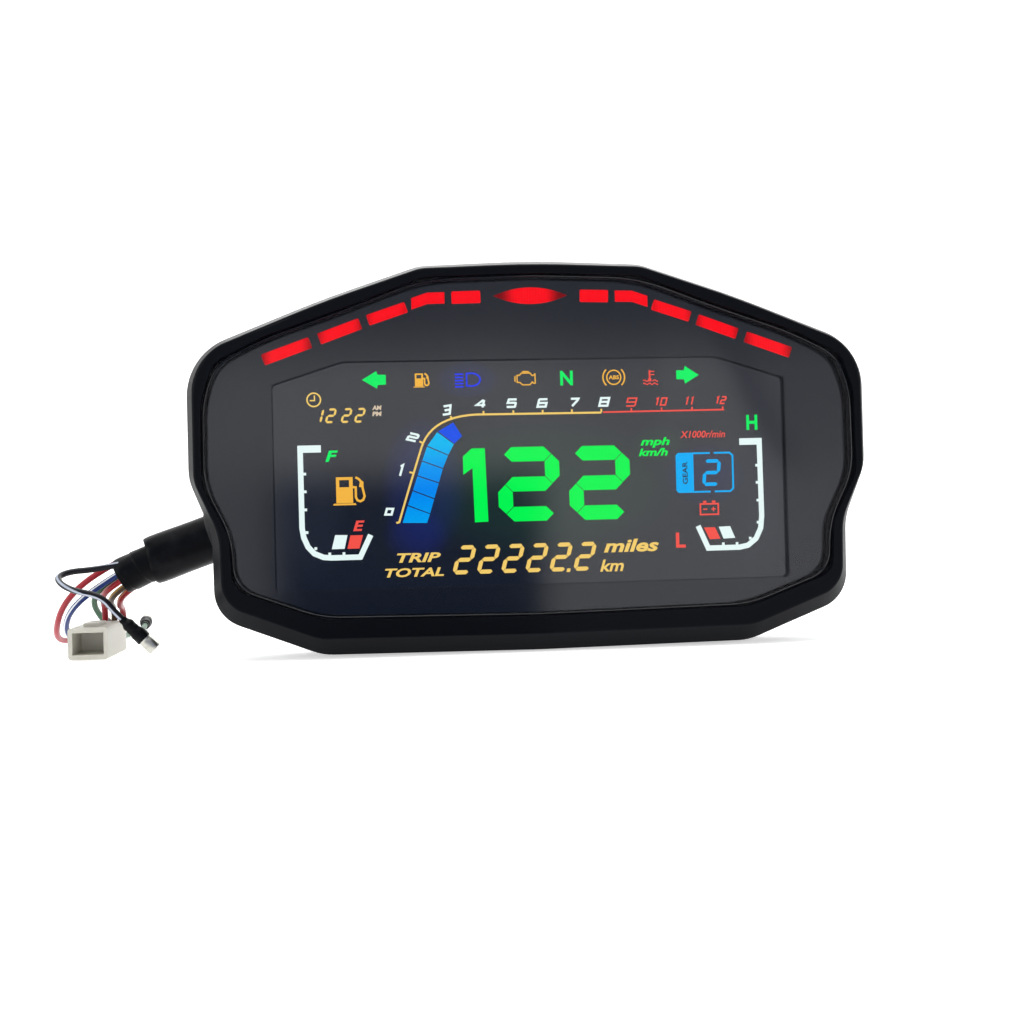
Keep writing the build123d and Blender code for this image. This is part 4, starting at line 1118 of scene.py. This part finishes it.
def make_display():
    """Every lit shape of the display, grouped by colour."""
    amber = lit_ink("amber_ink", tint(255, 214, 112))
    gold = lit_ink("gold_ink", tint(255, 190, 70))
    green = lit_ink("green_ink", tint(0, 255, 84))
    leaf = lit_ink("leaf_ink", tint(0, 250, 104))
    white = lit_ink("white_ink", tint(238, 255, 252), 1.05)
    red = lit_ink("coral_ink", tint(255, 86, 74))
    sky = lit_ink("sky_ink", tint(0, 180, 255))
    indigo = lit_ink("indigo_ink", tint(36, 60, 255))
    tach_scale(amber, red)
    tach_figures(white, red)
    tach_bars()
    speed(green)
    totals(amber)
    clock(amber, lit_ink("cream_ink", tint(226, 205, 178)))
    gauges(white, leaf, red, gold)
    beam(indigo)
    gear_box(sky)


# ---- finishes on the CAD nodes
def finish_nodes():
    """Gives every carried-over node its finish: nodes of one make share one material."""
    black = (0.0022, 0.0030, 0.0048, 1.0)
    red = lamp_window("shift_window_glow")
    screw = metal("black_oxide", (0.06, 0.06, 0.065, 1.0), 0.4, 0.2)
    package = moulded("epoxy_package", (0.02, 0.02, 0.022, 1.0), 0.55, 0.2, 0.01)
    seal = rubbery("silicone_seal", (0.010, 0.010, 0.011, 1.0))
    plunger = moulded("plunger_black", (0.015, 0.015, 0.016, 1.0), 0.4)
    reflector = moulded("white_reflector", (0.72, 0.72, 0.70, 1.0), 0.4, 0.5, 0.006)
    nylon = natural_nylon("natural_nylon")
    lamp = moulded("lamp_package", (0.80, 0.74, 0.45, 1.0), 0.3, 0.3, 0.004)
    looks = {
        "front_bezel": satin_case("bezel_black", black, 0.38, 0.08),
        "rear_cover": satin_case("cover_black", (0.006, 0.0066, 0.0078, 1.0), 0.5, 0.3),
        "lens": clear_lens("clear_lens"),
        "face_mask": smoked_mask("smoked_mask"),
        "lcd_front_glass": cell_glass("cell_glass"),
        "lcd_rear_glass": moulded("rear_glass", (0.004, 0.004, 0.006, 1.0), 0.12, 1.0, 0.001),
        "colour_film": moulded("colour_film", (0.006, 0.007, 0.014, 1.0), 0.25, 0.6, 0.002),
        "shift_light_housing": moulded("housing_grey", (0.03, 0.03, 0.032, 1.0), 0.5),
        "lcd_pins": metal("tinned_pins", (0.70, 0.70, 0.68, 1.0), 0.28),
        "main_board": circuit_board("circuit_board"),
        "capacitors": metal("drawn_can", (0.74, 0.74, 0.75, 1.0), 0.3),
        "power_inductor": moulded("ferrite", (0.07, 0.07, 0.075, 1.0), 0.6, 0.3, 0.03),
        "crystal": metal("pressed_can", (0.66, 0.65, 0.62, 1.0), 0.26),
        "chip_parts": ceramic_parts("chip_ceramic"),
        "mount_inserts": metal("turned_brass", (0.72, 0.50, 0.18, 1.0), 0.28, 0.2, 0.7),
        "breather": moulded("breather_membrane", (0.20, 0.20, 0.21, 1.0), 0.75, 0.5, 0.05),
        "cable_boot": rubbery("boot_rubber", (0.011, 0.011, 0.012, 1.0), 0.5),
        "harness_core": wrapped_vinyl("core_wrap", (0.012, 0.012, 0.013, 1.0), 0.5, 0.1),
    }
    shared = [
        (red, ("shift_windows_left", "shift_window_centre", "shift_windows_right")),
        (screw, ("cover_screws", "board_screws")),
        (package, ("microcontroller", "display_driver", "voltage_regulator")),
        (seal, ("lens_seal", "cover_seal")),
        (plunger, ("mode_switch", "adjust_switch", "mode_plunger", "adjust_plunger")),
        (reflector, ("diffuser", "light_box")),
        (nylon, ("wire_header", "header_plug", "sensor_connector")),
        (lamp, ("shift_leds", "backlight_leds")),
        (rubbery("button_rubber", (0.02, 0.02, 0.022, 1.0), 0.55), ("mode_button", "adjust_button")),
    ]
    looks.update({node: material for material, nodes in shared for node in nodes})
    for node, material in looks.items():
        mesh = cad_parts[node].data
        mesh.materials.clear()
        mesh.materials.append(material)


# ---- studio
def make_floor():
    """One pale sheet: a level floor, a quarter-round sweep behind, and an upright wall."""
    turn = np.linspace(0.0, math.pi / 2.0, 13)
    far_y, bow = 1.6, 0.5
    near_y, half_width, wall_top, below = 8.0, 8.0, 5.0, 0.0002
    y = np.concatenate([[-near_y, -0.6, 0.4], far_y - bow + bow * np.sin(turn), [far_y]])
    z = np.concatenate([[0.0, 0.0, 0.0], bow - bow * np.cos(turn), [wall_top]]) - below
    x = np.linspace(-half_width, half_width, 5)
    points = np.stack(np.broadcast_arrays(x[None, :], y[:, None], z[:, None]), -1)
    rows, columns = points.shape[:2]
    i = np.arange(rows - 1)[:, None]
    j = np.arange(columns - 1)[None, :]
    corners = [i * columns + j, i * columns + j + 1, (i + 1) * columns + j + 1, (i + 1) * columns + j]
    faces = np.stack(corners, -1).reshape(-1, 4).tolist()
    mesh = bpy.data.meshes.new("floor")
    mesh.from_pydata(points.reshape(-1, 3).tolist(), [], faces)
    mesh.shade_smooth()
    f = Finish("pale_floor")
    drift = f.noise(0.4, 2.0)
    base = f.mix(drift, (0.90, 0.90, 0.90, 1.0), (0.94, 0.94, 0.94, 1.0))
    f.surface(base, 0.8, Emission_Color=WHITE, Emission_Strength=0.55)
    mesh.materials.append(f.material)
    floor = bpy.data.objects.new("floor", mesh)
    SCENE.collection.objects.link(floor)


def card(name, corners, material):
    """A flat card that only reflections see."""
    mesh = bpy.data.meshes.new(name)
    mesh.from_pydata(corners, [], [(0, 1, 2, 3)])
    mesh.materials.append(material)
    made = bpy.data.objects.new(name, mesh)
    made.visible_camera = False
    made.visible_diffuse = False
    made.visible_shadow = False
    made.visible_transmission = False
    SCENE.collection.objects.link(made)


# how far the room's wall and the lens stand in front of the cluster's origin, and the eye
# from the lens
ROOM_DEPTH = 1.0
LENS_DEPTH = 0.017
EYE_SIDE = CAMERA_AT[0]
EYE_AWAY = -CAMERA_AT[1] - LENS_DEPTH
ROOM_SHADE = (0.05, 0.09, 0.20, 1.0)
ROOM_LIGHT = (0.99, 0.99, 1.02, 1.0)


def room_card(f, level, corners):
    """A card as light as its level, from the room's shade to its light."""
    tone = f.mix(level, ROOM_SHADE, ROOM_LIGHT)
    f.show(f.node("Emission", 0, {"Color": tone, "Strength": 1.0}))
    card(f.material.name, corners, f.material)


def shade_below(f, x):
    """The low part of the room: deep shade in the middle, lighter at both sides."""
    right = f.smooth(x, 0.09, 0.14)
    left = 1.0 - f.smooth(x, -0.21, -0.15)
    return 0.01 + right * 0.72 + left * 0.52 + f.noise(0.12, 1.0) * 0.05


def make_cards():
    """The room that the lens mirrors: a grey wall that ends in shade below, and a dark floor."""
    f = Finish("room_wall")
    x, _, z = f.axes()
    rise = f.smooth(z, 0.05, 0.11)
    edge = x + z * 0.51 - 0.44
    frame_bar = 1.0 - f.smooth(f.maths("ABSOLUTE", edge), 0.0, 0.03)
    beyond = f.smooth(edge, 0.0, 0.02)
    upper = f.smooth(z, 0.18, 0.26)
    patches = f.smooth(f.noise(0.22, 1.0), 0.3, 0.7)
    panel = f.smooth(x, 0.24, 0.26) * (1.0 - f.smooth(x, 0.33, 0.35))
    wall = (0.78 - upper * 0.50) * (0.86 + patches * 0.2) * (1.0 - beyond * 0.2)
    wall = wall * (1.0 - frame_bar * 0.5) * (1.0 + panel * 0.15)
    level = wall * rise + shade_below(f, x) * (1.0 - rise)
    side, foot, top, y = 1.6, -0.2, 1.5, -ROOM_DEPTH
    room_card(f, level, [(-side, y, foot), (side, y, foot), (side, y, top), (-side, y, top)])
    f = Finish("room_floor")
    x, y, _ = f.axes()
    ahead = -LENS_DEPTH - y
    struck = (x * EYE_AWAY + ahead * EYE_SIDE) / (ahead + EYE_AWAY)
    level = shade_below(f, struck + (struck - EYE_SIDE) * ((ROOM_DEPTH - LENS_DEPTH) / EYE_AWAY))
    side, near, low = 1.2, -0.024, 0.00002
    out = -ROOM_DEPTH
    room_card(f, level, [(-side, out, low), (side, out, low), (side, near, low), (-side, near, low)])


def area_light(name, at, target, size, watts):
    """A rectangular sheet of light that faces its target."""
    data = bpy.data.lights.new(name, "AREA")
    data.shape = "RECTANGLE"
    data.size, data.size_y = size
    data.energy = watts
    light = bpy.data.objects.new(name, data)
    light.location = at
    light.rotation_euler = (Vector(target) - Vector(at)).to_track_quat("-Z", "Y").to_euler()
    SCENE.collection.objects.link(light)


def make_lights():
    """Plain soft light: one large sheet overhead, one on each side, and a fill behind."""
    aim = (0.0, 0.0, 0.05)
    area_light("overhead", (0.0, -0.15, 1.2), aim, (1.4, 0.9), 8.0)
    area_light("left_side", (-1.1, -0.45, 0.5), aim, (0.7, 0.9), 4.0)
    area_light("right_side", (1.2, -0.3, 0.6), aim, (0.6, 0.9), 3.0)
    area_light("behind", (0.1, 1.1, 0.9), aim, (1.2, 0.8), 6.0)
    world = bpy.data.worlds.new("studio")
    SCENE.world = world
    f = Finish("studio", world)
    seen = f.node("LightPath", "Is Camera Ray")
    level = 0.34 + seen * 0.66
    f.show(f.node("Background", 0, {"Color": WHITE, "Strength": level}))
    SCENE.view_settings.view_transform = "Standard"


make_camera()
make_wires()
make_sleeve()
make_tape()
make_lens_edge()
make_display()
finish_nodes()
make_floor()
make_cards()
make_lights()
